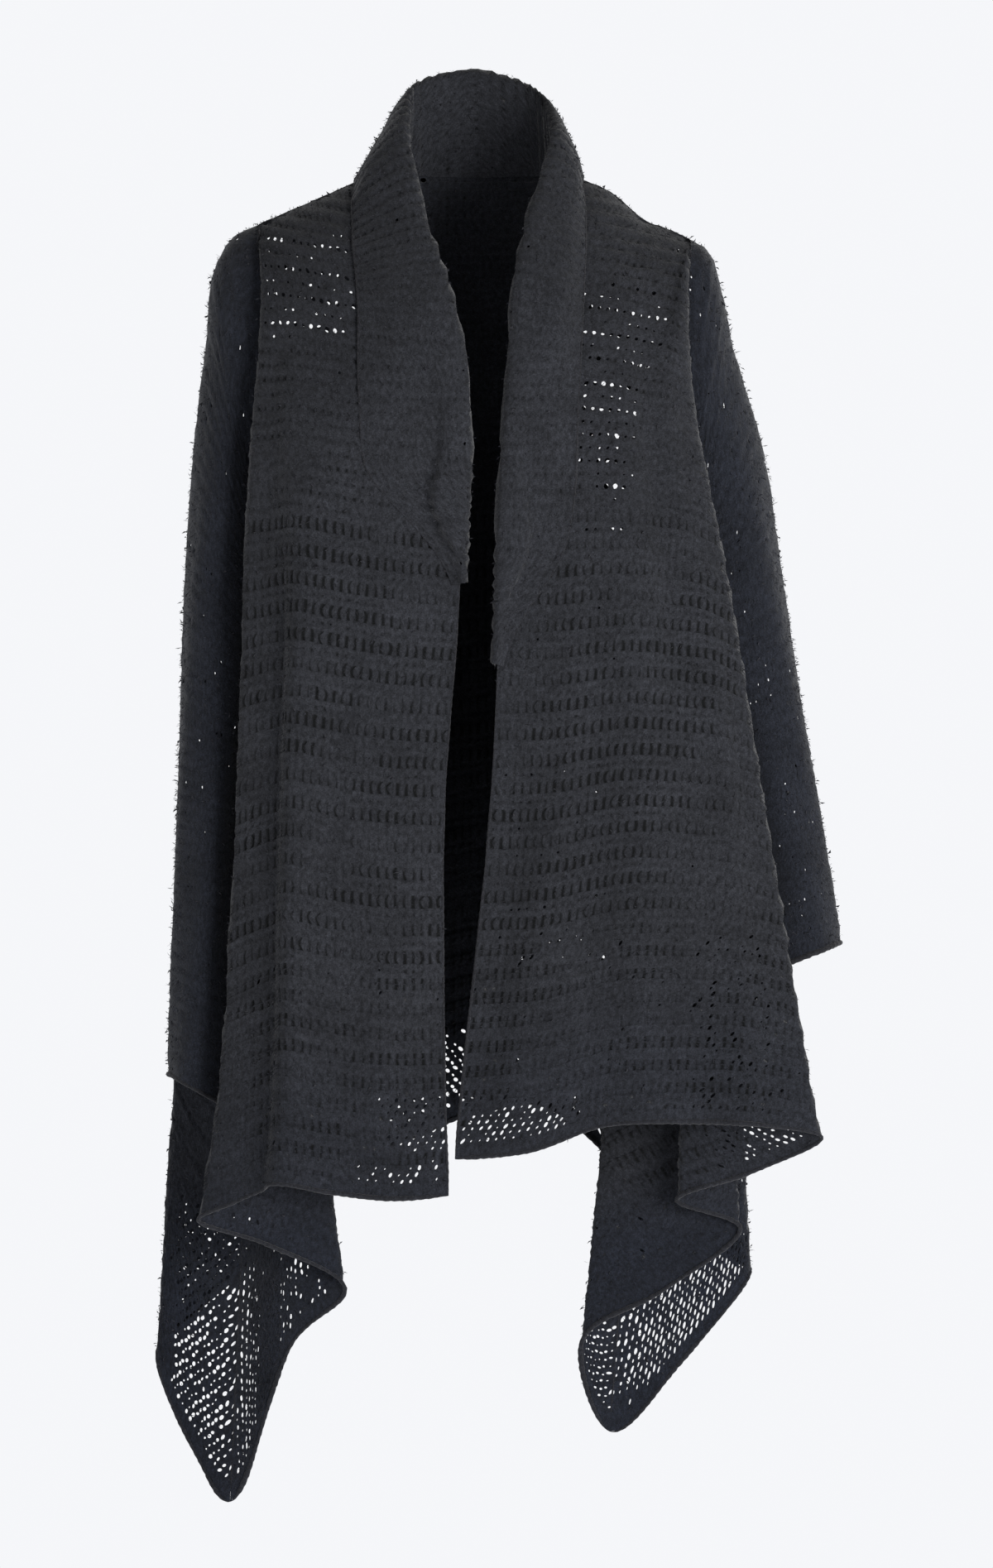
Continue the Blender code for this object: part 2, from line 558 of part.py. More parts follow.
def build_collar(edges, lying_on):
    """A roll collar: up from its seam, over the crest, and down onto the body."""
    table = np.array([station.roll + station.fall + station.lift_from + (station.along,)
                      for station in COLLAR], dtype=float)
    reach = np.concatenate(([0], np.cumsum(np.linalg.norm(np.diff(table[:, 0:3], axis=0), axis=1))))
    rows = smooth(reach, table, np.linspace(0, reach[-1], COLLAR_STOPS))
    lifts = unit(rows[:, 6:9])
    points = np.empty((COLLAR_STOPS, len(COLLAR_SECTION), 3))
    for column, (row, lift) in enumerate(zip(rows, lifts)):
        seam = collar_seam(edges, min(max(row[9], 0.0), 4.0))
        points[column] = collar_section(seam, row[0:3], row[3:6], lift)
        for index in range(FALL_FROM, len(COLLAR_SECTION)):
            settle = index == len(COLLAR_SECTION) - 1
            points[column, index] = lay_on(points[column, index], lift, lying_on, settle)
    clear_between(points, lifts, lying_on)
    along_seam = np.gradient(points, axis=0)
    across = np.gradient(points, axis=1)
    wall("collar", points, unit(np.cross(along_seam, across)))


def clear_between(points, lifts, trees):
    """Raises neighbouring stations where the cloth between them would touch the body."""
    for _ in range(6):
        for column in range(len(points) - 1):
            for index in range(FALL_FROM, points.shape[1]):
                middle = (points[column, index] + points[column + 1, index]) / 2
                room = min(tree.find_nearest(Vector(middle))[3] for tree in trees)
                if room < COLLAR_CLEAR:
                    points[column, index] += lifts[column] * (COLLAR_CLEAR - room)
                    points[column + 1, index] += lifts[column + 1] * (COLLAR_CLEAR - room)


def lay_on(point, lift, trees, settle):
    """Moves a point out along lift until it clears the cloth; a settled one first drops to it."""
    if settle:
        start = Vector(point + lift * 0.3)
        hits = [tree.ray_cast(start, Vector(-lift), 0.5) for tree in trees]
        hits = [(hit[3], hit[0]) for hit in hits if hit[0] is not None]
        if hits:
            point = np.array(min(hits)[1]) + lift * COLLAR_LIFT
    for _ in range(12):
        room = min(tree.find_nearest(Vector(point))[3] for tree in trees)
        if room >= COLLAR_LIFT:
            break
        point = point + lift * (COLLAR_LIFT - room) * 0.7
    return point


def tree_of(points):
    columns, rows = points.shape[:2]
    faces = [(c * rows + r, (c + 1) * rows + r, (c + 1) * rows + r + 1, c * rows + r + 1)
             for c in range(columns - 1) for r in range(rows - 1)]
    return BVHTree.FromPolygons([tuple(p) for p in points.reshape(-1, 3)], faces)


def sewn_edges(body, panels):
    """The edges that the collar is sewn to, as the panels' own points."""
    places, back = panels["back"]
    tops = np.array([body.place_at(u) for u in places])
    on_neck = (tops > 3.9) & (tops < 6.1)
    return {"right": panels["front_right"][1][0], "left": panels["front_left"][1][-1],
            "places": tops[on_neck], "neckline": back[on_neck, 0]}


def main():
    for thing in list(bpy.data.objects):
        bpy.data.objects.remove(thing)
    body = Body()
    panels = {
        "front_right": build_panel(body, "front_right", 0.0, body.right_seam, False, True, -1),
        "back": build_panel(body, "back", body.right_seam, body.left_seam, True, True, 1),
        "front_left": build_panel(body, "front_left", body.left_seam, body.end, True, False, -1),
    }
    for side in ("right", "left"):
        build_sleeve(side)
    build_collar(sewn_edges(body, panels), [tree_of(points) for _, points in panels.values()])


main()
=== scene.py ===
# %% [markdown]
# # An open-front drape cardigan in brushed openwork knit
#
# The real thing is a light wool and mohair knit: a long back, two long fronts, two narrow sleeves
# and a collar that rolls over along the opening. Nothing stiff holds it up, so every shape in it is
# cloth that hangs from the shoulders. The knit is a net. Rows of eyelets and of tall slits lie
# between firmer ribs, and a haze of loose fibre covers it all.
#
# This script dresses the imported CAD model, whose pieces are plain walls of cloth. It knits each
# piece again, stitch by stitch, on the same surface, and adds seams, rolled edges and the haze.

from collections import namedtuple
from math import cos, pi, sin

import bpy
import numpy as np
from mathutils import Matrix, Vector
from mathutils.bvhtree import BVHTree


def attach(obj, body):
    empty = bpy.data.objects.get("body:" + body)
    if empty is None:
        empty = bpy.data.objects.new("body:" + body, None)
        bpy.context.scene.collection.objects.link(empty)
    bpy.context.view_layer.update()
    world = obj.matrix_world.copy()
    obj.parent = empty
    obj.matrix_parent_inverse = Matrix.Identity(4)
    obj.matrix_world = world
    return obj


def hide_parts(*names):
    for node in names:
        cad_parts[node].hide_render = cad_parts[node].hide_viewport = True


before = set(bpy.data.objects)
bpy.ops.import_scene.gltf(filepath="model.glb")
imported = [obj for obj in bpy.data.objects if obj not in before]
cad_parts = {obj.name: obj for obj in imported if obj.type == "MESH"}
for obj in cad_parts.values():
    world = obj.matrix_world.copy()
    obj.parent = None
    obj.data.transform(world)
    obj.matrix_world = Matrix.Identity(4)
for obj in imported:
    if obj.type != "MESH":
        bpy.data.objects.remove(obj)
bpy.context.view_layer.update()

# %% [markdown]
# ## Camera, floor and light
#
# The photograph looks straight at the front from far away, so a long lens keeps the sides from
# growing or shrinking with depth. The view is 1.263 m high at the depth of the fronts, with
# 1500 pixels of the photograph to a metre.
#
# The photograph's light is broad and flat, on a white ground, and its shoulders are a little darker
# than its hem. A white sky all round that is dim overhead gives that in every view. Soft lamps add
# a little direction: one low at the right, a weak one at the left and one behind. The floor is a
# plain pale disc below the cloth, well out of the way.

# %% Set up the camera
PHOTO_HEIGHT = 1895
PIXELS_PER_METRE = 1500
VIEW_HEIGHT = PHOTO_HEIGHT / PIXELS_PER_METRE
VIEW_CENTRE = (0.0147, -0.09, -0.4817)
VIEW_DISTANCE = 20.0
SENSOR = 36.0

camera_data = bpy.data.cameras.new("camera")
camera_data.sensor_width = SENSOR
camera_data.lens = SENSOR * VIEW_DISTANCE / VIEW_HEIGHT
camera = bpy.data.objects.new("camera", camera_data)
camera.location = (VIEW_CENTRE[0], VIEW_CENTRE[1] - VIEW_DISTANCE, VIEW_CENTRE[2])
camera.rotation_euler = (pi / 2, 0, 0)
bpy.context.scene.collection.objects.link(camera)
bpy.context.scene.camera = camera
print("lens", round(camera_data.lens, 1), "mm")


# %% Functions for colours and nodes
def linear(hex_colour):
    """An sRGB colour such as #2c2d30, as linear red, green, blue and 1."""
    shares = [int(hex_colour[i:i + 2], 16) / 255 for i in (1, 3, 5)]
    colour = [s / 12.92 if s <= 0.04045 else ((s + 0.055) / 1.055) ** 2.4 for s in shares]
    return (*colour, 1.0)


def add_node(tree, kind, settings=None, links=None):
    """Adds a node. Settings go to its properties or inputs by name, links are input: output."""
    node = tree.nodes.new(kind)
    for name, value in (settings or {}).items():
        if isinstance(name, str) and hasattr(node, name):
            setattr(node, name, value)
        else:
            node.inputs[name].default_value = value
    for name, output in (links or {}).items():
        tree.links.new(output, node.inputs[name])
    return node


def spread(tree, output, source, target, **settings):
    """Takes one range of values onto another by a Map Range node, and gives its output."""
    ends = {"From Min": source[0], "From Max": source[1], "To Min": target[0], "To Max": target[1]}
    node = add_node(tree, "ShaderNodeMapRange", {**settings, **ends}, {"Value": output})
    return node.outputs["Result"]


# %% Build the floor
FLOOR_Z = -1.32
FLOOR_RADIUS = 2.6
FLOOR_SIDES = 96
FLOOR_GLOW = 0.45


def build_floor():
    """A flat disc of matt paper that glows a little, so that it stays pale under a dim sky."""
    turns = [2 * pi * step / FLOOR_SIDES for step in range(FLOOR_SIDES)]
    vertices = [(FLOOR_RADIUS * cos(turn), FLOOR_RADIUS * sin(turn), FLOOR_Z) for turn in turns]
    mesh = bpy.data.meshes.new("floor")
    mesh.from_pydata(vertices, [], [tuple(range(FLOOR_SIDES))])
    floor = bpy.data.objects.new("floor", mesh)
    bpy.context.scene.collection.objects.link(floor)
    paper = bpy.data.materials.new("matt_paper")
    paper.use_nodes = True
    shader = paper.node_tree.nodes["Principled BSDF"]
    for socket, value in (("Base Color", linear("#f2f2f2")), ("Roughness", 0.9),
                          ("Emission Color", linear("#f6f8ff")),
                          ("Emission Strength", FLOOR_GLOW)):
        shader.inputs[socket].default_value = value
    mesh.materials.append(paper)
    return floor


build_floor()

# %% Light the scene
Lamp = namedtuple("Lamp", "name place aim size watts")
LAMPS = (
    Lamp("key", (1.9, -3.4, -1.0), (0.0, 0.0, -0.85), 1.8, 148),
    Lamp("fill", (-2.0, -4.0, 0.2), (0.0, 0.0, -0.55), 2.6, 8),
    Lamp("behind", (-1.2, 3.0, 1.8), (0.0, 0.0, -0.4), 2.4, 45),
)
SKY_STRENGTH = 0.95
CEILING_STRENGTH = 0.05
SKY_DIMS = (0.08, 0.55)  # from the first height to the second: 0 is the horizon, 1 is overhead

for lamp in LAMPS:
    light = bpy.data.lights.new(lamp.name, "AREA")
    light.size = lamp.size
    light.energy = lamp.watts
    holder = bpy.data.objects.new(lamp.name, light)
    holder.location = lamp.place
    way = Vector(lamp.aim) - Vector(lamp.place)
    holder.rotation_euler = way.to_track_quat("-Z", "Y").to_euler()
    bpy.context.scene.collection.objects.link(holder)

sky = bpy.data.worlds.new("sky")
sky.use_nodes = True
background = sky.node_tree.nodes["Background"]
direction = add_node(sky.node_tree, "ShaderNodeTexCoord").outputs["Generated"]
split = add_node(sky.node_tree, "ShaderNodeSeparateXYZ", {}, {"Vector": direction})
dim = spread(sky.node_tree, split.outputs["Z"], SKY_DIMS, (SKY_STRENGTH, CEILING_STRENGTH))
background.inputs["Color"].default_value = linear("#fbfcff")
sky.node_tree.links.new(dim, background.inputs["Strength"])
bpy.context.scene.world = sky
bpy.context.scene.view_settings.view_transform = "Standard"

# %% [markdown]
# ## The surface that the cloth hangs on
#
# A pattern cutter thinks of this body as one long cloth that goes round from the right front's
# edge to the left front's edge. Each row of these tables is a hanging line of it: where it starts
# on the shoulder or armhole, and where it hangs at the chest, bust, waist, hip and hem. A smooth
# surface through the lines gives the folds. The CAD model was made from the same tables, so what
# is knitted here lies on its walls.

# %% Tables of hanging lines, sleeves and collar
WALL = 0.0024
HALF = WALL / 2
SEAM_GAP = 0.0003
EDGE_EASE = 0.0004

# Heights at which every hanging line is placed, between its top and its hem
BUST_Z = -0.30
WAIST_Z = -0.50
HIP_Z = -0.70
LINE_KEYS = (0.0, 0.16, 0.29, 0.50, 0.73, 1.0)
ROW_STOPS = (0.0, 0.03, 0.07, 0.115, 0.16, 0.22, 0.29, 0.36, 0.43, 0.50,
             0.58, 0.66, 0.74, 0.81, 0.88, 0.94, 1.0)
COLUMN_WIDTH = 0.026
BOW_LIFT = 0.82
BOW_SCALE = 4.2
LOOP_POWER = 0.6  # below 1, narrow strips of cloth take up more of the loop

# Neck, shoulders and armholes
NECK_POINT = {"right": (-0.072, 0.004, 0.012), "left": (0.070, 0.004, 0.012)}
CENTRE_BACK_NECK = (0.0, 0.056, 0.010)
SHOULDER = {  # outline of the shoulder seam from neck point to tip: x, z
    "right": ((-0.072, 0.012), (-0.098, 0.005), (-0.132, -0.010), (-0.160, -0.022),
              (-0.178, -0.030)),
    "left": ((0.070, 0.012), (0.0867, 0.006), (0.105, -0.002), (0.122, -0.016),
             (0.134, -0.0265), (0.148, -0.0315), (0.172, -0.042)),
}
Armhole = namedtuple("Armhole", "tip underarm half_depth")
ARMHOLE = {
    "right": Armhole(tip=(-0.178, 0.0, -0.030), underarm=(-0.160, 0.0, -0.250), half_depth=0.052),
    "left": Armhole(tip=(0.172, 0.0, -0.042), underarm=(0.152, 0.0, -0.250), half_depth=0.050),
}

# A hanging line. "along" is its start: -1 centre back neck, 0 neck point,
# 1 shoulder tip, 2 underarm. "bow" is how far it rounds over the shoulder.
# Chest, bust, waist and hip are x, y; the hem is x, y, z.
Line = namedtuple("Line", "name along bow chest bust waist hip hem")

FRONT_RIGHT = (
    Line("edge", 0.0, 0.026, (-0.0130, -0.112), (-0.0145, -0.127), (-0.0275, -0.130),
         (-0.0275, -0.132), (-0.0240, -0.134, -0.8125)),
    Line("inner", 0.25, 0.030, (-0.058, -0.119), (-0.060, -0.134), (-0.072, -0.138),
         (-0.072, -0.141), (-0.070, -0.142, -0.8150)),
    Line("middle", 0.58, 0.032, (-0.108, -0.118), (-0.110, -0.136), (-0.118, -0.142),
         (-0.120, -0.147), (-0.118, -0.149, -0.8100)),
    Line("ridge", 0.88, 0.026, (-0.151, -0.106), (-0.150, -0.130), (-0.156, -0.138),
         (-0.161, -0.144), (-0.1665, -0.147, -0.8035)),
    Line("valley", 1.15, 0.020, (-0.163, -0.097), (-0.170, -0.108), (-0.177, -0.113),
         (-0.184, -0.117), (-0.194, -0.120, -0.8180)),
    Line("fold_1", 1.36, 0.010, (-0.182, -0.088), (-0.188, -0.098), (-0.195, -0.103),
         (-0.207, -0.107), (-0.2255, -0.110, -0.8320)),
    Line("return", 1.56, 0.0, (-0.171, -0.067), (-0.173, -0.072), (-0.171, -0.078),
         (-0.170, -0.082), (-0.170, -0.084, -0.8530)),
    Line("fold_2", 1.74, 0.0, (-0.163, -0.046), (-0.160, -0.050), (-0.145, -0.054),
         (-0.130, -0.056), (-0.1075, -0.058, -0.8890)),
    Line("drop", 1.88, 0.0, (-0.160, -0.023), (-0.158, -0.024), (-0.154, -0.024),
         (-0.155, -0.026), (-0.150, -0.030, -0.9330)),
    Line("side_seam", 2.0, 0.0, (-0.159, 0.0), (-0.159, 0.002), (-0.166, 0.008),
         (-0.183, 0.010), (-0.2005, -0.004, -1.0620)),
)
BACK = (
    Line("right_panel", 1.86, 0.0, (-0.161, 0.025), (-0.163, 0.024), (-0.185, 0.030),
         (-0.214, 0.028), (-0.2270, 0.010, -1.0270)),
    Line("right_fold", 1.68, 0.0, (-0.166, 0.048), (-0.172, 0.047), (-0.207, 0.050),
         (-0.243, 0.048), (-0.2605, 0.034, -0.9430)),
    Line("right_turn", 1.46, 0.006, (-0.170, 0.070), (-0.168, 0.072), (-0.197, 0.076),
         (-0.226, 0.078), (-0.2350, 0.066, -0.9150)),
    Line("right_blade", 1.16, 0.022, (-0.150, 0.094), (-0.140, 0.098), (-0.150, 0.100),
         (-0.166, 0.100), (-0.1700, 0.094, -0.8580)),
    Line("right_back", 0.55, 0.032, (-0.110, 0.112), (-0.085, 0.116), (-0.088, 0.106),
         (-0.094, 0.120), (-0.0950, 0.122, -0.7880)),
    Line("right_spine", 0.0, 0.026, (-0.060, 0.116), (-0.044, 0.112), (-0.046, 0.112),
         (-0.046, 0.108), (-0.0450, 0.106, -0.7650)),
    Line("centre", -1.0, 0.010, (0.0, 0.112), (0.002, 0.116), (0.004, 0.104),
         (0.004, 0.118), (0.0040, 0.120, -0.7480)),
    Line("left_spine", 0.0, 0.026, (0.060, 0.116), (0.046, 0.112), (0.050, 0.114),
         (0.050, 0.108), (0.0500, 0.106, -0.7420)),
    Line("left_back", 0.55, 0.032, (0.108, 0.112), (0.088, 0.115), (0.094, 0.105),
         (0.100, 0.120), (0.1020, 0.120, -0.7800)),
    Line("left_blade", 1.16, 0.022, (0.146, 0.094), (0.136, 0.096), (0.144, 0.098),
         (0.156, 0.100), (0.1600, 0.096, -0.8450)),
    Line("left_turn", 1.46, 0.006, (0.163, 0.070), (0.160, 0.072), (0.182, 0.074),
         (0.203, 0.078), (0.2110, 0.070, -0.8700)),
    Line("left_fold", 1.68, 0.0, (0.159, 0.048), (0.160, 0.046), (0.188, 0.046),
         (0.210, 0.046), (0.2195, 0.036, -0.8800)),
    Line("left_panel", 1.86, 0.0, (0.154, 0.025), (0.153, 0.023), (0.168, 0.022),
         (0.182, 0.018), (0.1650, 0.008, -0.9480)),
)
FRONT_LEFT = (
    Line("edge", 0.0, 0.026, (0.0290, -0.112), (0.0200, -0.127), (0.0100, -0.130),
         (-0.0105, -0.132), (-0.0185, -0.134, -0.7830)),
    Line("inner", 0.25, 0.030, (0.060, -0.119), (0.062, -0.136), (0.060, -0.141),
         (0.046, -0.143), (0.0400, -0.144, -0.7770)),
    Line("middle", 0.58, 0.030, (0.106, -0.118), (0.112, -0.137), (0.114, -0.145),
         (0.106, -0.147), (0.1000, -0.144, -0.7570)),
    Line("side", 0.88, 0.024, (0.142, -0.108), (0.156, -0.129), (0.170, -0.141),
         (0.174, -0.146), (0.1700, -0.140, -0.7530)),
    Line("near_fold", 1.15, 0.020, (0.160, -0.100), (0.182, -0.120), (0.207, -0.134),
         (0.226, -0.141), (0.2300, -0.140, -0.7560)),
    Line("fold_1", 1.36, 0.010, (0.178, -0.090), (0.198, -0.106), (0.231, -0.122),
         (0.264, -0.128), (0.2765, -0.126, -0.7660)),
    Line("return", 1.50, 0.0, (0.169, -0.072), (0.176, -0.085), (0.196, -0.102),
         (0.216, -0.106), (0.2180, -0.104, -0.7950)),
    Line("fold_2", 1.62, 0.0, (0.162, -0.060), (0.160, -0.070), (0.160, -0.084),
         (0.162, -0.088), (0.1600, -0.086, -0.8170)),
    Line("fold_3", 1.72, 0.0, (0.158, -0.047), (0.160, -0.053), (0.181, -0.063),
         (0.203, -0.068), (0.2115, -0.066, -0.8400)),
    Line("inside", 1.82, 0.0, (0.154, -0.033), (0.153, -0.036), (0.158, -0.044),
         (0.160, -0.048), (0.1500, -0.048, -0.8900)),
    Line("fold_4", 1.91, 0.0, (0.152, -0.017), (0.150, -0.018), (0.136, -0.026),
         (0.108, -0.030), (0.0835, -0.032, -0.9330)),
    Line("side_seam", 2.0, 0.0, (0.152, 0.0), (0.150, 0.002), (0.146, -0.002),
         (0.130, -0.008), (0.1060, -0.014, -1.0050)),
)

# A sleeve section: its outer and inner points x, z, its centre's y and half depth
Section = namedtuple("Section", "name outer inner centre_y half_depth")
SLEEVE = {
    "right": (
        Section("armhole", (-0.178, -0.030), (-0.160, -0.250), 0.0, 0.052),
        Section("cap", (-0.1955, -0.038), (-0.1665, -0.260), 0.0, 0.054),
        Section("crown", (-0.2115, -0.062), (-0.1720, -0.272), 0.0, 0.056),
        Section("upper_arm", (-0.2187, -0.130), (-0.1755, -0.290), -0.002, 0.055),
        Section("biceps", (-0.2275, -0.205), (-0.1785, -0.316), -0.006, 0.052),
        Section("above_elbow", (-0.2375, -0.325), (-0.1825, -0.380), -0.014, 0.048),
        Section("elbow", (-0.2425, -0.450), (-0.1885, -0.470), -0.024, 0.044),
        Section("forearm", (-0.2447, -0.590), (-0.1940, -0.605), -0.031, 0.041),
        Section("cuff", (-0.2495, -0.716), (-0.2010, -0.743), -0.036, 0.039),
    ),
    "left": (
        Section("armhole", (0.172, -0.042), (0.152, -0.250), 0.0, 0.050),
        Section("cap", (0.1845, -0.050), (0.1585, -0.260), 0.0, 0.052),
        Section("crown", (0.1955, -0.080), (0.1645, -0.272), 0.0, 0.054),
        Section("upper_arm", (0.2047, -0.130), (0.169, -0.288), 0.001, 0.053),
        Section("biceps", (0.2265, -0.205), (0.172, -0.306), 0.002, 0.051),
        Section("above_elbow", (0.2465, -0.315), (0.182, -0.362), 0.000, 0.047),
        Section("elbow", (0.2620, -0.415), (0.200, -0.437), -0.006, 0.043),
        Section("forearm", (0.2770, -0.520), (0.217, -0.536), -0.014, 0.040),
        Section("cuff", (0.2920, -0.610), (0.233, -0.633), -0.020, 0.037),
    ),
}

# A collar station. "along" follows the seam: 0 the right front's lower end, 1 the
# right neck point, 2 centre back, 3 the left neck point, 4 the left lower end.
# The roll is the collar's crest and the fall is its free edge, both x, y, z.
Station = namedtuple("Station", "name along roll fall lift_from")
COLLAR = (
    Station("right_end", 0.0, (-0.0115, -0.134, -0.320), (-0.0350, -0.140, -0.325), (0, -1, 0)),
    Station("right_low", 0.22, (-0.0085, -0.135, -0.240), (-0.0880, -0.145, -0.240), (0, -1, 0)),
    Station("right_chest", 0.40, (-0.0075, -0.128, -0.175), (-0.0960, -0.135, -0.172), (0, -1, 0)),
    Station("right_bend", 0.60, (-0.0180, -0.112, -0.102), (-0.0970, -0.115, -0.098), (0, -1, 0)),
    Station("right_collarbone", 0.77, (-0.0400, -0.072, -0.030), (-0.1010, -0.070, -0.046),
            (-0.1, -0.8, 0.6)),
    Station("right_neck", 1.0, (-0.0560, -0.008, 0.060), (-0.1010, 0.004, 0.010), (-0.3, 0, 1)),
    Station("right_nape", 1.5, (-0.0480, 0.044, 0.088), (-0.0860, 0.088, -0.012), (-0.2, 0.7, 0.7)),
    Station("nape", 2.0, (-0.0040, 0.064, 0.0985), (0.0, 0.120, -0.035), (0, 1, 0.4)),
    Station("left_nape", 2.5, (0.0440, 0.044, 0.083), (0.0760, 0.088, -0.012), (0.2, 0.7, 0.7)),
    Station("left_neck", 3.0, (0.0590, -0.008, 0.052), (0.0860, 0.004, 0.014), (0.3, 0, 1)),
    Station("left_collarbone", 3.18, (0.0385, -0.072, -0.022), (0.0880, -0.070, -0.038),
            (0.1, -0.8, 0.6)),
    Station("left_bend", 3.31, (0.0250, -0.112, -0.088), (0.0850, -0.115, -0.098), (0, -1, 0)),
    Station("left_chest", 3.48, (0.0225, -0.128, -0.175), (0.0810, -0.135, -0.172), (0, -1, 0)),
    Station("left_low", 3.69, (0.0175, -0.137, -0.270), (0.0740, -0.145, -0.275), (0, -1, 0)),
    Station("left_end", 4.0, (0.0135, -0.136, -0.385), (0.0320, -0.142, -0.392), (0, -1, 0)),
)
COLLAR_LOW = {"right": 0.31, "left": 0.38}
COLLAR_STOPS = 65
COLLAR_SECTION = (0.0, 1.0, 1.5, 2.0, 2.5, 3.0, 3.5, 4.0, 4.5, 5.0)
COLLAR_LIFT = WALL + 0.0024
COLLAR_CLEAR = WALL + 0.0014
ROLL_RADIUS = 0.0040
ROLL_REACH = 0.0038
ROLL_CLEAR = 0.0008
FALL_FROM = 6
OVER_SHARE, OVER_LIFT = 0.4, 1.2  # where the front of the roll turns into the fall
LAP_RATE, NAPE_LAP_RATE = 6, 3  # how fast the seam slips behind the edge that it is sewn to
NECK_SQUEEZE = 1.3
CLEAR_ROUNDS = 6
LAY_ROUNDS, LAY_STEP = 12, 0.7
RAY_START, RAY_LENGTH = 0.3, 0.5


# %% Functions for the smooth surface
def unit(vectors):
    """The same directions, each one metre long."""
    vectors = np.asarray(vectors, dtype=float)
    lengths = np.linalg.norm(vectors, axis=-1, keepdims=True)
    return vectors / np.maximum(lengths, 1e-12)


def reach_along(points):
    """How far along a line each of its points lies."""
    return np.concatenate(([0], np.cumsum(np.linalg.norm(np.diff(points, axis=0), axis=1))))


def read_along(at, reach, values):
    """Every column of the values along a line, read at other places along it."""
    return np.stack([np.interp(at, reach, channel) for channel in values.T], axis=1)


def smooth(stops, values, at):
    """Points of a smooth curve through values at stops, read at each place in at."""
    stops = np.asarray(stops, dtype=float)
    values = np.asarray(values, dtype=float)
    at = np.atleast_1d(np.asarray(at, dtype=float))
    steps = np.diff(stops)
    slopes = np.diff(values, axis=0) / steps[:, None]
    tangents = np.empty_like(values)
    tangents[0] = slopes[0]
    tangents[-1] = slopes[-1]
    share = (steps[1:] / (steps[:-1] + steps[1:]))[:, None]
    tangents[1:-1] = slopes[:-1] * share + slopes[1:] * (1 - share)
    piece = np.clip(np.searchsorted(stops, at, side="right") - 1, 0, len(steps) - 1)
    step = steps[piece]
    t = ((at - stops[piece]) / step)[:, None]
    step = step[:, None]
    return ((2 * t**3 - 3 * t**2 + 1) * values[piece]
            + (t**3 - 2 * t**2 + t) * step * tangents[piece]
            + (3 * t**2 - 2 * t**3) * values[piece + 1]
            + (t**3 - t**2) * step * tangents[piece + 1])


def armhole_point(side, turn):
    """A point of the armhole: turn 0 at the shoulder tip, pi at the underarm, front below pi."""
    hole = ARMHOLE[side]
    tip = np.array(hole.tip)
    underarm = np.array(hole.underarm)
    centre = (tip + underarm) / 2
    forward = np.array((0, -hole.half_depth, 0))
    return centre + (tip - underarm) / 2 * cos(turn) + forward * sin(turn)


def shoulder_point(side, share):
    """The shoulder seam: share 0 at the neck point, 1 at the shoulder tip."""
    outline = np.array(SHOULDER[side])
    reach = reach_along(outline)
    x, z = smooth(reach / reach[-1], outline, share)[0]
    y = NECK_POINT[side][1] * (1 - share) ** 2
    return np.array((x, y, z))


def neckline_point(side, share):
    """The back neckline: share 0 at the neck point, 1 at the centre back."""
    neck = np.array(NECK_POINT[side])
    centre = np.array(CENTRE_BACK_NECK)
    turn = share * pi / 2
    return np.array((neck[0] * cos(turn), neck[1] + (centre[1] - neck[1]) * sin(turn),
                     neck[2] + (centre[2] - neck[2]) * share))


def top_point(place):
    """The body's whole top edge: 0 right neck point, 1 tip, 2 underarm, 3 tip, 4 neck
    point, 5 centre back, 6 left neck point, 7 tip, 8 underarm, 9 tip, 10 neck point."""
    side = "right" if place <= 5 else "left"
    if place > 5:
        place = 10 - place
    if place <= 1:
        return shoulder_point(side, max(place, 0.0))
    if place <= 3:
        turn = (place - 1) * pi
        return armhole_point(side, turn)
    if place <= 4:
        return shoulder_point(side, 4 - place)
    return neckline_point(side, place - 4)


def body_loop():
    """Every hanging line in order, with its place on the top edge."""
    loop = [(line.along, line) for line in FRONT_RIGHT]
    right = [line for line in BACK if line.hem[0] <= 0.005]
    left = BACK[len(right):]
    loop += [(4 - line.along, line) for line in right]
    loop += [(6 + line.along, line) for line in left]
    loop += [(10 - line.along, line) for line in reversed(FRONT_LEFT)]
    return loop


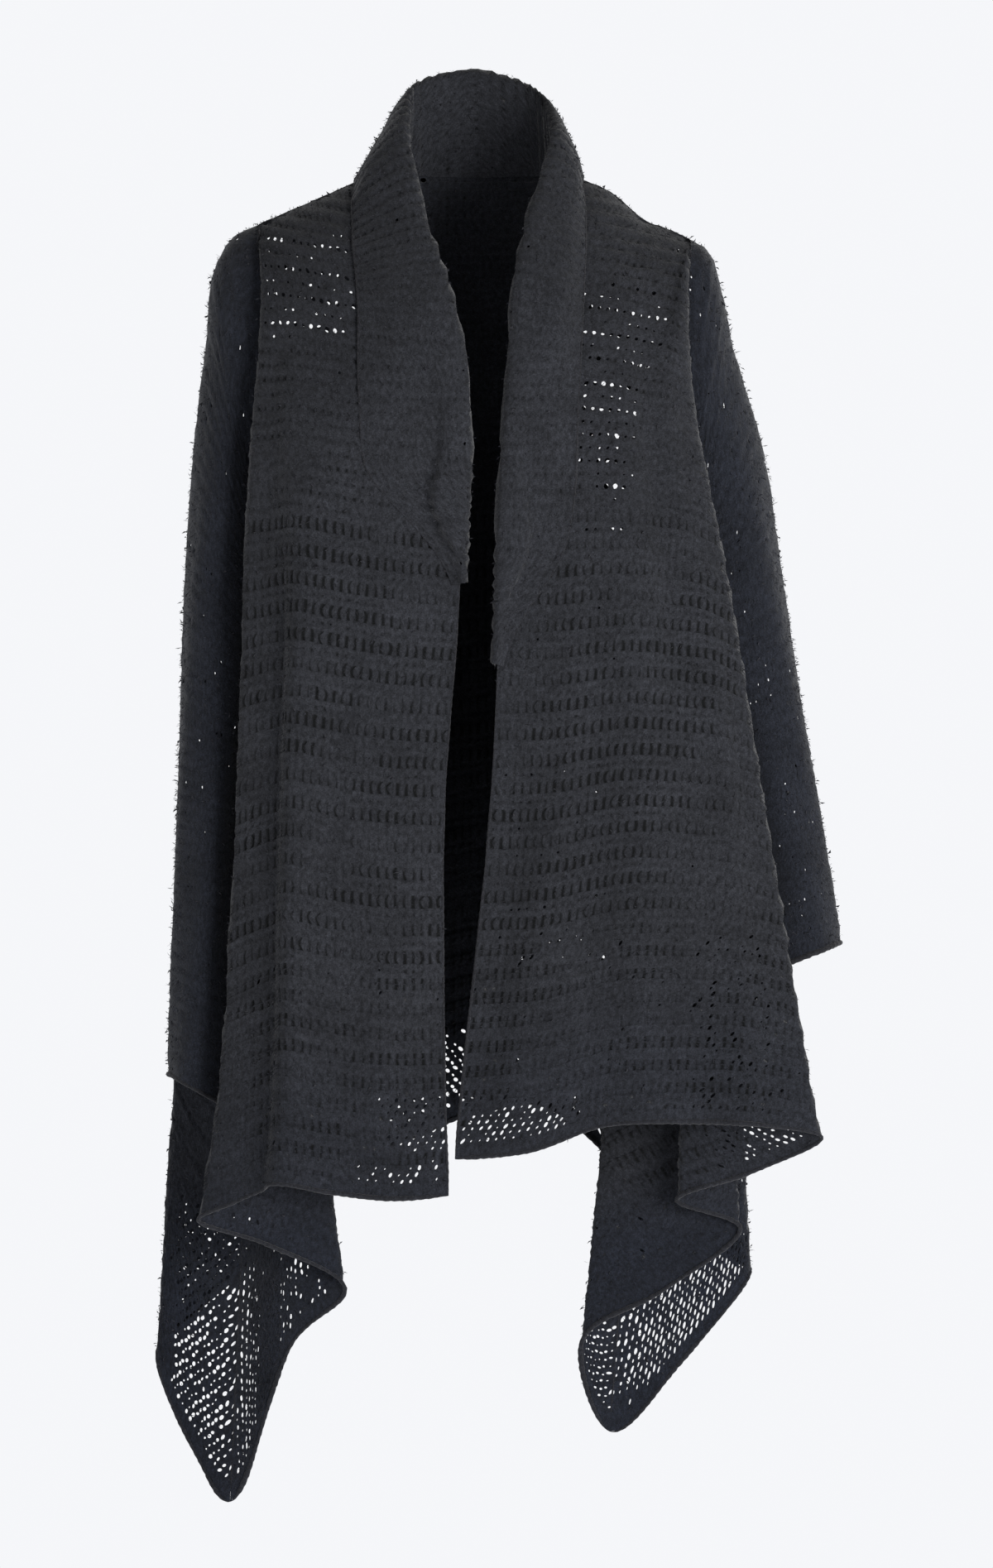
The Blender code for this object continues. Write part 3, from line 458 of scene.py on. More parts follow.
class Body:
    """The smooth surface of fronts and back. A place u is how far round the loop of lines it
    lies, and a row is a share of the way down a line."""

    def __init__(self):
        loop = body_loop()
        self.places = np.array([[place] for place, _ in loop])
        self.bows = np.array([[line.bow] for _, line in loop])
        self.keys = np.array([line.chest + line.bust + line.waist + line.hip + line.hem
                              for _, line in loop])
        across = np.linalg.norm(np.diff(self.keys[:, 6:8], axis=0), axis=1)
        across += np.linalg.norm(np.diff(self.keys[:, 8:11], axis=0), axis=1)
        self.width = across / 2
        self.stops = np.concatenate(([0], np.cumsum(self.width ** LOOP_POWER)))
        self.right_seam = self.stops[len(FRONT_RIGHT) - 1]
        self.left_seam = self.stops[len(loop) - len(FRONT_LEFT)]
        self.end = self.stops[-1]

    def place_at(self, u):
        """The place on the top edge where the line at u starts."""
        return float(np.clip(smooth(self.stops, self.places, u)[0, 0], 0, 10))

    def line(self, u, rows):
        """Points of the hanging line at u."""
        place = self.place_at(u)
        bow = smooth(self.stops, self.bows, u)[0, 0]
        keys = smooth(self.stops, self.keys, u)[0]
        top = top_point(place)
        chest_z = (top[2] + BUST_Z) / 2
        points = np.array([top, (*keys[0:2], chest_z), (*keys[2:4], BUST_Z),
                           (*keys[4:6], WAIST_Z), (*keys[6:8], HIP_Z), keys[8:11]])
        rows = np.atleast_1d(rows)
        hung = smooth(LINE_KEYS, points, rows)
        facing = -1.0 if place < 2 or place > 8 else 1.0
        share = np.clip(rows / LINE_KEYS[1], 0, 1)
        over = share * (1 - share) ** 2 * BOW_SCALE * bow
        off_shoulder = min(abs(place - 2), abs(place - 8), 1.0)
        lift = BOW_LIFT * max(0.0, (off_shoulder - 0.6) / 0.4)
        hung[:, 1] += over * facing * (1 - lift ** 2) ** 0.5
        hung[:, 2] += over * lift
        return hung

    def columns(self, first, last):
        """Places along the loop, closer where the cloth is narrow between lines."""
        places = [first]
        for start, stop, width in zip(self.stops[:-1], self.stops[1:], self.width):
            if start < first - 1e-9 or stop > last + 1e-9:
                continue
            count = max(2, int(np.ceil(width / COLUMN_WIDTH)))
            places += list(start + (stop - start) * np.arange(1, count + 1) / count)
        return np.array(places)

    def grid(self, places):
        """Points on a grid of columns and rows, as the CAD model has them."""
        return np.array([self.line(u, ROW_STOPS) for u in places])


body = Body()
print("hanging lines", len(body.stops))

# %% [markdown]
# ## Soft creases
#
# Besides the large folds, hanging knit has shallow troughs that start at the shoulders, the
# underarms and the bust, and die out on the way down. Each crease here is a row of a table: the
# place round the body where it starts and ends, its heights, its width and its depth. They are
# uneven, as real ones are. Positive depths are ridges, negative ones are troughs.

# %% Creases of the body
Crease = namedtuple("Crease", "name start end top bottom width depth")
CREASES = (
    Crease("right_edge_ridge", 0.45, 0.50, 0.30, 1.0, 0.30, 0.0030),
    Crease("right_breast_trough", 1.55, 2.20, 0.22, 0.64, 0.24, -0.0040),
    Crease("right_hip_ridge", 1.25, 1.05, 0.45, 1.0, 0.30, 0.0035),
    Crease("right_front_ridge", 2.75, 2.80, 0.20, 1.0, 0.25, 0.0035),
    Crease("right_front_trough", 3.42, 3.38, 0.20, 1.0, 0.28, -0.0062),
    Crease("right_strip_ridge", 4.10, 4.20, 0.30, 1.0, 0.30, 0.0030),
    Crease("back_right_trough", 13.9, 13.6, 0.10, 0.90, 0.40, -0.0060),
    Crease("back_spine_ridge", 15.3, 15.6, 0.25, 1.0, 0.45, 0.0055),
    Crease("back_left_trough", 17.3, 17.8, 0.08, 0.85, 0.42, -0.0065),
    Crease("back_left_ridge", 18.6, 18.3, 0.35, 1.0, 0.30, 0.0045),
    Crease("left_side_ridge", 30.1, 30.3, 0.30, 1.0, 0.26, 0.0045),
    Crease("left_shoulder_trough", 31.3, 30.8, 0.04, 0.50, 0.34, -0.0050),
    Crease("left_bust_ridge", 31.9, 31.5, 0.16, 0.80, 0.40, 0.0055),
    Crease("left_long_trough", 32.5, 32.1, 0.38, 1.0, 0.36, -0.0050),
    Crease("left_breast_ridge", 32.45, 33.05, 0.18, 0.60, 0.26, 0.0045),
    Crease("left_hip_ridge", 33.20, 33.40, 0.50, 1.0, 0.30, 0.0040),
    Crease("left_edge_trough", 33.65, 33.55, 0.34, 0.92, 0.24, -0.0030),
)


CREASE_STARTS = 0.16  # the share of the way down over which a crease comes up
CREASE_ENDS = 0.12


def ramp(values, low, high):
    """0 up to low, 1 from high on, and a smooth rise between them."""
    share = np.clip((values - low) / (high - low), 0, 1)
    return share * share * (3 - 2 * share)


def crease_depth(index, share):
    """How far creases move the cloth out, at line number index and share of the way down."""
    out = np.zeros(np.broadcast(index, share).shape)
    for crease in CREASES:
        reach = np.clip((share - crease.top) / (crease.bottom - crease.top), 0, 1)
        middle = crease.start + (crease.end - crease.start) * reach
        across = np.exp(-((index - middle) / crease.width) ** 2)
        open_end = crease.bottom >= 1.0
        fade_in = ramp(share, crease.top, crease.top + CREASE_STARTS)
        fade_out = 1.0 if open_end else 1 - ramp(share, crease.bottom - CREASE_ENDS, crease.bottom)
        out = out + crease.depth * across * fade_in * fade_out
    return out


# %% [markdown]
# ## Knitting
#
# The cloth is a hand-gauge lace: a stitch is 7.1 mm wide and the pattern repeats every 24 mm. In
# the yoke a repeat is a row of eyelets, a rib, a row of small dots and a rib. Lower down the
# eyelets grow into slits 12.5 mm tall. At the hem the net is fine and even, with a firm edge.
# Such a net could be a texture with see-through spots, but holes that are real catch the light on
# their rims, hide each other when seen from the side and stay open in the exported model. So each
# stitch is a small patch of mesh. A plain stitch is one quad, a slit or a dot is a quad pressed in
# along its middle, and an open eyelet is a ring round eight points.

# %% The gauge
MM = 0.001
STITCH = 7.1 * MM
EYELET_COURSE = 6.8 * MM
DOT_COURSE = 5.0 * MM
YOKE_RIB = 6.0 * MM
BACK_RIB = 2.4 * MM
SLIT_COURSE = 12.5 * MM
BODY_RIB = 3.2 * MM
NET_COURSE = 5.4 * MM
EDGE_COURSE = 6.0 * MM
YOKE_DEPTH = 0.30
NET_DEPTH = 0.19
NET_REPEAT = (1.15, 1.15, 0.60, 0.10)  # in closed net, four courses stand for slits, dots and a rib
DROP_TOP_Z = -0.815  # below this height only the side points hang
DROP_FADE = 0.03
EDGE_COURSES = 2
SHELL_OUT = 0.5 * MM
RIB_OUT = 0.45 * MM
PIT_IN = 2.1 * MM
RIM_IN = 0.9 * MM
PLAIN, EYELET, DOT, SLIT, NET, EDGE = range(6)
YOKE_REPEAT = ((EYELET_COURSE, EYELET), (YOKE_RIB, PLAIN), (DOT_COURSE, DOT), (YOKE_RIB, PLAIN))
BACK_REPEAT = ((EYELET_COURSE, EYELET), (BACK_RIB, PLAIN), (DOT_COURSE, DOT), (BACK_RIB, PLAIN))
BODY_REPEAT = ((SLIT_COURSE, SLIT), (BODY_RIB, PLAIN), (DOT_COURSE, DOT), (BODY_RIB, PLAIN))

rng = np.random.default_rng(11)


def course_table(total, yoke_repeat):
    """Heights and kinds of the courses from the top of a piece to its hem."""
    courses = []
    reached = 0.0
    while reached < total - NET_DEPTH:
        repeat = yoke_repeat if reached < YOKE_DEPTH else BODY_REPEAT
        courses += repeat
        reached += sum(height for height, _ in repeat)
    left_over = total - reached - EDGE_COURSES * EDGE_COURSE
    net_rows = max(1, round(left_over / NET_COURSE))
    courses += [(left_over / net_rows, NET)] * net_rows
    courses += [(EDGE_COURSE, EDGE)] * EDGE_COURSES
    return courses


def course_heights(courses):
    """How far below the first row each row lies."""
    return np.concatenate(([0], np.cumsum([height for height, _ in courses])))


# %% Unevenness
UNEVEN_SPAN = 3.2
WAVES = [(rng.normal(size=3), rng.uniform(0, 2 * pi), length)
         for length in np.geomspace(0.045, 0.22, 9)]


def uneven(points):
    """A smooth number from 0 to 1 that drifts over a few centimetres of cloth."""
    total = np.zeros(len(points))
    for way, start, length in WAVES:
        total += np.sin(points @ way / np.linalg.norm(way) * 2 * pi / length + start)
    return ramp(total, -UNEVEN_SPAN, UNEVEN_SPAN)


# %% Where the eyelets stand open
Patch = namedtuple("Patch", "name x z half_x half_z share")
OPEN_PATCHES = (
    Patch("right_chest", -0.133, -0.078, 0.046, 0.046, 1.0),
    Patch("right_ribs", -0.040, -0.205, 0.018, 0.042, 0.45),
    Patch("left_chest", 0.118, -0.115, 0.036, 0.034, 1.0),
    Patch("left_breast", 0.104, -0.195, 0.024, 0.050, 1.0),
    Patch("left_ribs", 0.096, -0.262, 0.024, 0.026, 0.55),
    Patch("right_hem", -0.053, -0.752, 0.026, 0.024, 0.9),
    Patch("right_hem_low", -0.070, -0.795, 0.040, 0.010, 0.7),
    Patch("left_hem", 0.034, -0.757, 0.056, 0.026, 0.9),
    Patch("left_corner", 0.226, -0.775, 0.040, 0.022, 0.9),
    Patch("left_flank", 0.205, -0.670, 0.034, 0.080, 0.26),
    Patch("left_waist", 0.068, -0.543, 0.056, 0.085, 0.36),
)
BACK_PATCHES = (
    Patch("right_blade", -0.120, -0.145, 0.074, 0.165, 0.95),
    Patch("left_blade", 0.122, -0.155, 0.070, 0.165, 0.95),
    Patch("left_corner", 0.220, -0.775, 0.060, 0.040, 1.0),
    Patch("left_flank", 0.195, -0.660, 0.050, 0.120, 0.9),
    Patch("left_waist", 0.078, -0.543, 0.050, 0.110, 0.9),
)
STRAY_SHARE = 0.012
PATCH_FADE = (0.70, 1.10)  # a patch thins out between these shares of its half size


def patch_share(points, patches):
    """How likely an eyelet is to stand open at each point."""
    share = np.full(len(points), STRAY_SHARE)
    for patch in patches:
        across = np.abs(points[:, 0] - patch.x) / patch.half_x
        down = np.abs(points[:, 2] - patch.z) / patch.half_z
        away = np.maximum(across, down)
        share = np.maximum(share, patch.share * (1 - ramp(away, *PATCH_FADE)))
    return share


# %% Meshes from arrays
# The traits: depth is the painted shade of a point in a pit, the next is the painted bluish shade,
# then the stitch's wale and course
TRAITS = ("depth", "cool_shade", "wale", "course")


def mesh_object(name, vertices, triangles, traits):
    """A mesh object of triangles, with its traits at each point for the material."""
    mesh = bpy.data.meshes.new(name)
    mesh.vertices.add(len(vertices))
    mesh.vertices.foreach_set("co", np.asarray(vertices, dtype=np.float32).ravel())
    mesh.loops.add(3 * len(triangles))
    mesh.loops.foreach_set("vertex_index", np.asarray(triangles, dtype=np.int32).ravel())
    mesh.polygons.add(len(triangles))
    mesh.polygons.foreach_set("loop_start", np.arange(0, 3 * len(triangles), 3, dtype=np.int32))
    for label, values in zip(TRAITS, np.asarray(traits, dtype=np.float32).T):
        attribute = mesh.attributes.new(label, "FLOAT", "POINT")
        attribute.data.foreach_set("value", np.ascontiguousarray(values))
    mesh.update(calc_edges=True)
    mesh.shade_smooth()
    thing = bpy.data.objects.new(name, mesh)
    bpy.context.scene.collection.objects.link(thing)
    return thing


def traits_of(count, depth, cool_shade, wale=0.0, course=0.0):
    """One row of traits for each point."""
    columns = [np.broadcast_to(value, count) for value in (depth, cool_shade, wale, course)]
    return np.stack(columns, axis=1)


# %% Stitches
# Sizes here are shares of a stitch. Pairs are the ends of a random draw, or its middle and spread.
RING = 8  # points round an open eyelet
CORNER_TURNS = (5, 7, 1, 3)  # the ring's point that is nearest to each corner
SMALLEST_HOLE = 0.05
EDGES_OPEN = 0.45  # how deep in shade an open eyelet's rim is
# How much painted shade a closed eyelet's pit gets
DOTS_DARK = 0.75
BIG_HOLES = 0.55  # how many of the net's holes are big
BIG_HOLE, SMALL_HOLE = 1.1, 0.55
HOLE_WIDTHS = (0.60, 1.20)
HOLE_HEIGHTS = (0.85, 1.15)
HOLE_TALL = {NET: 1.55, EYELET: 1.15, DOT: 1.1}
HOLE_LEAN = {NET: 0.70, EYELET: 0.15, DOT: 0.15}
LEAN_SPREAD = 0.15
HOLE_LIMIT = 0.42  # a hole reaches no further than this, so that cloth is left beside it
RING_LIMIT = 0.44
NET_SHIFT = 0.22  # every other course of net is shifted by this share of a stitch
RING_SHIFT, DOT_SHIFT = 0.8, 0.6
NET_LIMIT = 0.46 - NET_SHIFT
PRESS_CALM, PRESS_LIVELY = 0.66, 0.50  # pits are this deep where the cloth is most even, and more
WOBBLE, DOT_WOBBLE = 0.03, 0.05
SLIT_REACH = 0.38
SLIT_WAVE = (0.07, 0.10)
SLIT_BENDS = np.array((-1.0, 0.9, -0.4))
SLIT_DEPTHS = (0.85, 1.2)
SLIT_PRESS = np.array((0.8, 1.0, 1.1))
# How much painted shade a slit's three points get, and the most that any of them gets
SLIT_DARK = np.array((0.85, 0.95, 1.1))
SLIT_DARKEST = 1.1
DROP_PRESS = 0.2  # how deep slits are on the side points
DOT_REACH = 0.10
DOT_DEPTHS = (0.75, 1.2)
DOT_PRESS = 0.9
NET_REACH = 0.07
NET_SLIT = 0.33
NET_PRESS = 0.7
FLANK_OUT, FLANK_DOWN = (0.17, 0.20), (0.64, 0.70)  # metres: low on the right side, slits fade


def ring_faces():
    """Triangles between a stitch's four corners (0 to 3) and its eyelet's points (4 to 11)."""
    faces = []
    for corner, turn in enumerate(CORNER_TURNS):
        before, here, after = ((turn + step) % RING + 4 for step in (-1, 0, 1))
        following = (corner + 1) % 4
        faces += [(corner, here, before), (corner, after, here), (corner, following, after)]
    return faces


RING_FACES = np.array(ring_faces())
DOT_FACES = np.array(((0, 1, 4), (1, 5, 4), (1, 2, 5), (2, 3, 5), (3, 4, 5), (3, 0, 4)))
SLIT_FACES = np.array(((0, 1, 4), (1, 5, 4), (1, 2, 5), (2, 6, 5), (2, 3, 6), (3, 5, 6), (3, 0, 5),
                       (0, 4, 5)))
PLAIN_FACES = np.array(((0, 1, 2), (0, 2, 3)))


class Knitting:
    """Gathers stitches as points and triangles, then makes one mesh of them."""

    def __init__(self, relief):
        self.points, self.traits, self.triangles = [], [], []
        self.count = 0
        self.open_eyelets = 0
        self.relief = relief

    def add_points(self, points, traits):
        first = self.count
        self.points.append(points)
        self.traits.append(traits)
        self.count += len(points)
        return first

    def patches(self, corners, inner, faces, traits):
        """One patch for each stitch: shared corner numbers, and inner points of its own."""
        each = inner.shape[1]
        first = self.add_points(inner.reshape(-1, 3), traits.reshape(-1, len(TRAITS)))
        own = first + np.arange(len(inner))[:, None] * each + np.arange(each)
        numbers = np.concatenate((corners, own), axis=1)
        self.triangles.append(numbers[:, faces].reshape(-1, 3))

    def make(self, name):
        points = np.concatenate(self.points)
        triangles = np.concatenate(self.triangles)
        a, b, c = (points[triangles[:, i]] for i in range(3))
        whole = np.linalg.norm(np.cross(b - a, c - a), axis=1) > 1e-10
        print(name, "stitches make", int(whole.sum()), "triangles,",
              self.open_eyelets, "open eyelets")
        return mesh_object(name, points, triangles[whole], np.concatenate(self.traits))


class Course:
    """The stitches between two rows: corners, middles and the ways across and down them."""

    def __init__(self, upper, lower, corners, normal, traits):
        above, below = corners
        self.quads = np.stack((above[:-1], above[1:], below[1:], below[:-1]), axis=1)
        self.centre = (upper[:-1] + upper[1:] + lower[1:] + lower[:-1]) / 4
        self.across = (upper[1:] + lower[1:] - upper[:-1] - lower[:-1]) / 2
        self.down = (lower[:-1] + lower[1:] - upper[:-1] - upper[1:]) / 2
        self.normal = normal
        self.traits = traits

    def inner(self, chosen, x, y, inward, depth, height):
        """Points at shares x and y of each chosen stitch, pressed inward. The depth given is their
        painted pit shade.
        """
        points = (self.centre[chosen][:, None] + self.across[chosen][:, None] * x[..., None]
                  + self.down[chosen][:, None] * y[..., None]
                  - self.normal[chosen][:, None] * inward[..., None])
        traits = np.repeat(self.traits[chosen][:, None], x.shape[1], axis=1)
        traits[..., 0] = depth
        traits[..., 2] += x
        traits[..., 3] += y * height
        return points, traits


Feel = namedtuple("Feel", "kind height number press on_body shift")


def knit_slits(knitting, course, feel):
    """Tall slits: three points down the middle of each stitch are pressed in."""
    count = len(course.quads)
    on_drop = DROP_PRESS + (1 - DROP_PRESS) * feel.on_body
    deep = feel.press * rng.uniform(*SLIT_DEPTHS, (count, 1)) * on_drop
    wave = rng.normal(*SLIT_WAVE, (count, 1))
    y = np.array((-SLIT_REACH, 0.0, SLIT_REACH)) + rng.normal(0, WOBBLE, (count, 3))
    x = wave * SLIT_BENDS + rng.normal(0, WOBBLE, (count, 3))
    inner, traits = course.inner(slice(None), x, y, PIT_IN * deep * SLIT_PRESS,
                                 np.clip(deep * SLIT_DARK, 0, SLIT_DARKEST), feel.height)
    knitting.patches(course.quads, inner, SLIT_FACES, traits)


def knit_open(knitting, course, is_open, size, feel):
    """Open eyelets: a ring of points round each hole."""
    holes = int(is_open.sum())
    width = size[is_open][:, None] * rng.uniform(*HOLE_WIDTHS, (holes, 1))
    if feel.kind == NET:
        width *= np.where(rng.uniform(size=(holes, 1)) < BIG_HOLES, BIG_HOLE, SMALL_HOLE)
    half_x = np.minimum(width / 2, NET_LIMIT if feel.kind == NET else HOLE_LIMIT)
    tall = half_x * HOLE_TALL[feel.kind] * STITCH / feel.height
    half_y = np.minimum(tall * rng.uniform(*HOLE_HEIGHTS, (holes, 1)), HOLE_LIMIT)
    lean = rng.normal(HOLE_LEAN[feel.kind], LEAN_SPREAD, (holes, 1))
    turns = np.arange(RING) * 2 * pi / RING
    x = feel.shift * RING_SHIFT + np.cos(turns) * half_x + np.sin(turns) * half_x * lean
    y = np.sin(turns) * half_y + rng.normal(0, WOBBLE, (holes, 1))
    inner, traits = course.inner(is_open, np.clip(x, -RING_LIMIT, RING_LIMIT), y,
                                 np.full(x.shape, RIM_IN), EDGES_OPEN, feel.height)
    knitting.patches(course.quads[is_open], inner, RING_FACES, traits)
    knitting.open_eyelets += holes


def knit_closed(knitting, course, closed, feel):
    """Closed eyelets: two points across the middle are pressed in. On the body the closed net
    goes on with the pattern of slits, dots and ribs."""
    shut = int(closed.sum())
    deep = feel.press[closed] * rng.uniform(*DOT_DEPTHS, (shut, 1))
    deep = deep * (DOT_PRESS if feel.kind == DOT else 1.0)
    reach, shift = DOT_REACH, feel.shift
    if feel.kind == NET:
        slits = feel.on_body[closed]
        step = feel.number % len(NET_REPEAT)
        deep = deep * (NET_PRESS * (1 - slits) + NET_REPEAT[step] * slits)
        reach = NET_REACH + (NET_SLIT * slits if step < 2 else 0.0)
        shift = shift * (1 - slits)
    x = shift * DOT_SHIFT + rng.normal(0, DOT_WOBBLE, (shut, 2))
    y = np.array((-1, 1)) * reach + rng.normal(0, WOBBLE, (shut, 2))
    inner, traits = course.inner(closed, x, y, PIT_IN * deep * np.ones(2),
                                 np.clip(deep * DOTS_DARK * np.ones(2), 0, 1), feel.height)
    knitting.patches(course.quads[closed], inner, DOT_FACES, traits)


def knit_course(knitting, course, kind, height, share, size, vigour, number):
    """Knits one course. Share is how many eyelets stand open, size how wide they are."""
    if kind in (PLAIN, EDGE):
        knitting.triangles.append(course.quads[:, PLAIN_FACES].reshape(-1, 3))
        return
    x, z = course.centre[:, 0:1], course.centre[:, 2:3]
    flank = ramp(-x, *FLANK_OUT) * ramp(-z, *FLANK_DOWN)
    on_body = ramp(z, DROP_TOP_Z - 0.01, DROP_TOP_Z + DROP_FADE) * (1 - flank)
    press = knitting.relief * (PRESS_CALM + PRESS_LIVELY * vigour)[:, None]
    shift = (NET_SHIFT if number % 2 else -NET_SHIFT) if kind == NET else 0.0
    feel = Feel(kind, height, number, press, on_body, shift)
    if kind == SLIT:
        knit_slits(knitting, course, feel)
        return
    is_open = (rng.uniform(size=len(course.quads)) < share) & (size > SMALLEST_HOLE)
    if is_open.any():
        knit_open(knitting, course, is_open, size, feel)
    if not is_open.all():
        knit_closed(knitting, course, ~is_open, feel)


def close_end(knitting, above, below):
    """Fills the wedge at a piece's edge where one row runs on further than the other."""
    triangles = []
    i, j = 0, 0
    while i < len(above) - 1 or j < len(below) - 1:
        if j >= len(below) - 1 or (i < len(above) - 1 and i * len(below) <= j * len(above)):
            triangles.append((above[i], above[i + 1], below[j]))
            i += 1
        else:
            triangles.append((above[i], below[j + 1], below[j]))
            j += 1
    if triangles:
        knitting.triangles.append(np.array(triangles))


# %% Resample rows at the width of a stitch
POINT, OUT, TO_HEM = slice(0, 3), slice(3, 6), 6
JITTER = 0.30 * MM
RIB_CALM = 0.3
LIFT_JITTER = 0.6
LAST_STITCH = 0.35  # the least share of a stitch that is left between the last one and the edge


def row_of_stitches(samples, reference):
    """Samples a stitch apart along a row, counted from the reference sample, and both ends."""
    along = reach_along(samples[:, POINT])
    first = int(np.ceil((along[0] - along[reference]) / STITCH + LAST_STITCH))
    last = int(np.floor((along[-1] - along[reference]) / STITCH - LAST_STITCH))
    numbers = np.arange(first - 1, last + 2)
    at = along[reference] + numbers * STITCH
    at[0], at[-1] = along[0], along[-1]
    row = read_along(at, along, samples)
    row[:, OUT] = unit(row[:, OUT])
    return numbers, (at - along[reference]) / STITCH, row


def lay_rows(knitting, rows, courses, rule, ring, jitter):
    """Adds the points of every row. Each is a stitch's corner, and no two lie quite even."""
    kinds = [EDGE, *(kind for _, kind in courses), EDGE]
    heights = course_heights(courses)
    laid = []
    for place, (numbers, wales, row) in enumerate(rows):
        above, below = kinds[place:place + 2]
        vigour = uneven(row[:, POINT])
        lift = SHELL_OUT + rng.normal(0, LIFT_JITTER * jitter, len(row))
        if PLAIN in (above, below):
            lift = lift + RIB_OUT * knitting.relief * (RIB_CALM + vigour)
        moved = row[:, POINT] + row[:, OUT] * lift[:, None]
        if 0 < place < len(rows) - 1:
            inner = slice(0, len(row)) if ring else slice(1, len(row) - 1)
            moved[inner] += rng.normal(0, jitter, (len(row), 3))[inner]
        if ring:
            moved[-1] = moved[0]
        cool_shade = rule(row[:, POINT], row[:, TO_HEM], below)[2]
        traits = traits_of(len(row), 0.0, cool_shade, wales, heights[place])
        first = knitting.add_points(moved, traits)
        laid.append((numbers, moved, row, first + np.arange(len(row))))
    return laid


def knit_rows(name, rows, courses, rule, relief=1.0, ring=False, jitter=JITTER):
    """Knits a piece from its rows. The rule gives each stitch's share open, size and painted bluish
    shade.
    """
    knitting = Knitting(relief)
    heights = course_heights(courses)
    laid = lay_rows(knitting, rows, courses, rule, ring, jitter)
    net_courses = 0
    for place, (height, kind) in enumerate(courses):
        (count_up, up, row_up, id_up), (count_low, low, row_low, id_low) = laid[place:place + 2]
        first, last = max(count_up[0], count_low[0]), min(count_up[-1], count_low[-1])
        pick_up = np.arange(first - count_up[0], last - count_up[0] + 1)
        pick_low = np.arange(first - count_low[0], last - count_low[0] + 1)
        close_end(knitting, id_up[pick_up[-1]:], id_low[pick_low[-1]:])
        close_end(knitting, id_low[:pick_low[0] + 1][::-1], id_up[:pick_up[0] + 1][::-1])
        middle = (row_up[pick_up][:-1] + row_low[pick_low][1:]) / 2
        share, size, cool_shade = rule(middle[:, POINT], middle[:, TO_HEM], kind)
        tall = np.linalg.norm(row_low[pick_low][:-1, POINT] - row_up[pick_up][:-1, POINT], axis=1)
        share = np.where(tall < 0.5 * height, 0.0, share)
        wales = rows[place][1][pick_up]
        traits = traits_of(len(middle), 0.0, cool_shade, (wales[:-1] + wales[1:]) / 2,
                           heights[place] + height / 2)
        course = Course(up[pick_up], low[pick_low], (id_up[pick_up], id_low[pick_low]),
                        unit(middle[:, OUT]), traits)
        vigour = uneven(middle[:, POINT]) * np.clip(tall / height, 0, 1)
        knit_course(knitting, course, kind, height, share, size, vigour, net_courses)
        net_courses += kind == NET
    return knitting.make(name)


BROAD_RIB = 4.5 * MM


def split_ribs(courses):
    """Gives each broad rib a crest by knitting it as two halves."""
    halves = []
    for height, kind in courses:
        broad = kind == PLAIN and height > BROAD_RIB
        halves += [(height / 2, kind)] * 2 if broad else [(height, kind)]
    return halves


# %% [markdown]
# ## Fronts and back
#
# The courses of the fronts are level at the hem but tilt in the yoke, because the cloth is pulled
# towards the neck on one side. Each course keeps a constant height on a line that mixes a tilted
# plane near the top with the distance to the hem lower down, so on the side points the net runs
# aslant, as it does on the real one.

# %% Courses of a body panel
NUDGE = 1e-3  # a short step, from which the way along or down the cloth is read


def line_number(u):
    """Where u lies as a number of hanging lines."""
    return np.interp(u, body.stops, np.arange(len(body.stops)))


def panel_surface(places, shares):
    """Points and outward directions for each place's own shares of the way down."""
    points, outward = [], []
    for u, rows in zip(places, shares):
        here = body.line(u, rows)
        along = body.line(min(u + NUDGE, body.end), rows) - body.line(max(u - NUDGE, 0), rows)
        down = body.line(u, np.minimum(rows + NUDGE, 1)) - body.line(u, np.maximum(rows - NUDGE, 0))
        normal = unit(np.cross(unit(along), unit(down)))
        points.append(here + normal * crease_depth(line_number(u), rows)[:, None])
        outward.append(normal)
    return np.array(points), np.array(outward)


def panel_shares(places, tilt, total, heights):
    """For each place round the body, how far down its line every course lies, and how far it is
    from the hem."""
    rows = np.linspace(0, 1, SAMPLES_DOWN)
    lines = np.array([body.line(u, rows) for u in places])
    steps = np.linalg.norm(np.diff(lines, axis=1), axis=2)
    along = np.concatenate((np.zeros((len(places), 1)), np.cumsum(steps, axis=1)), axis=1)
    to_hem = along[:, -1:] - along
    share = along / along[:, -1:]
    plane = -lines[:, :, 2] - tilt * lines[:, :, 0]
    plane = plane - plane[:, 0].min()
    level = (1 - share) * plane + share * (total - to_hem)
    level = np.maximum.accumulate(level, axis=1) + rows * 1e-6
    return (np.array([np.interp(heights, line, rows) for line in level]),
            np.array([np.interp(heights, line, far) for line, far in zip(level, to_hem)]))


Panel = namedtuple("Panel", "name first last reference tilt total flat area")
PANELS = (
    Panel("front_right", 0.0, body.right_seam, 0.0, 0.23, 0.88, (0.60, 1.08), 0.262),
    Panel("back", body.right_seam, body.left_seam, 0.5, 0.0, 0.87, (0.78, 1.08), 0.482),
    Panel("front_left", body.left_seam, body.end, 1.0, 0.16, 0.88, (0.72, 1.02), 0.294),
)
SAMPLES_ACROSS = 180
SAMPLES_DOWN = 161

# %% Openness and tint of the side points
RIGHT_DROP = (Patch("outer", -0.213, -0.940, 0.036, 0.136, 0.9),
              Patch("inner", -0.140, -0.903, 0.022, 0.052, 0.5))
LEFT_DROP_LINE = ((0.213, -0.843), (0.083, -0.930))
LEFT_DROP_REACH = 0.072
LEFT_DROP_SOFT = 0.01


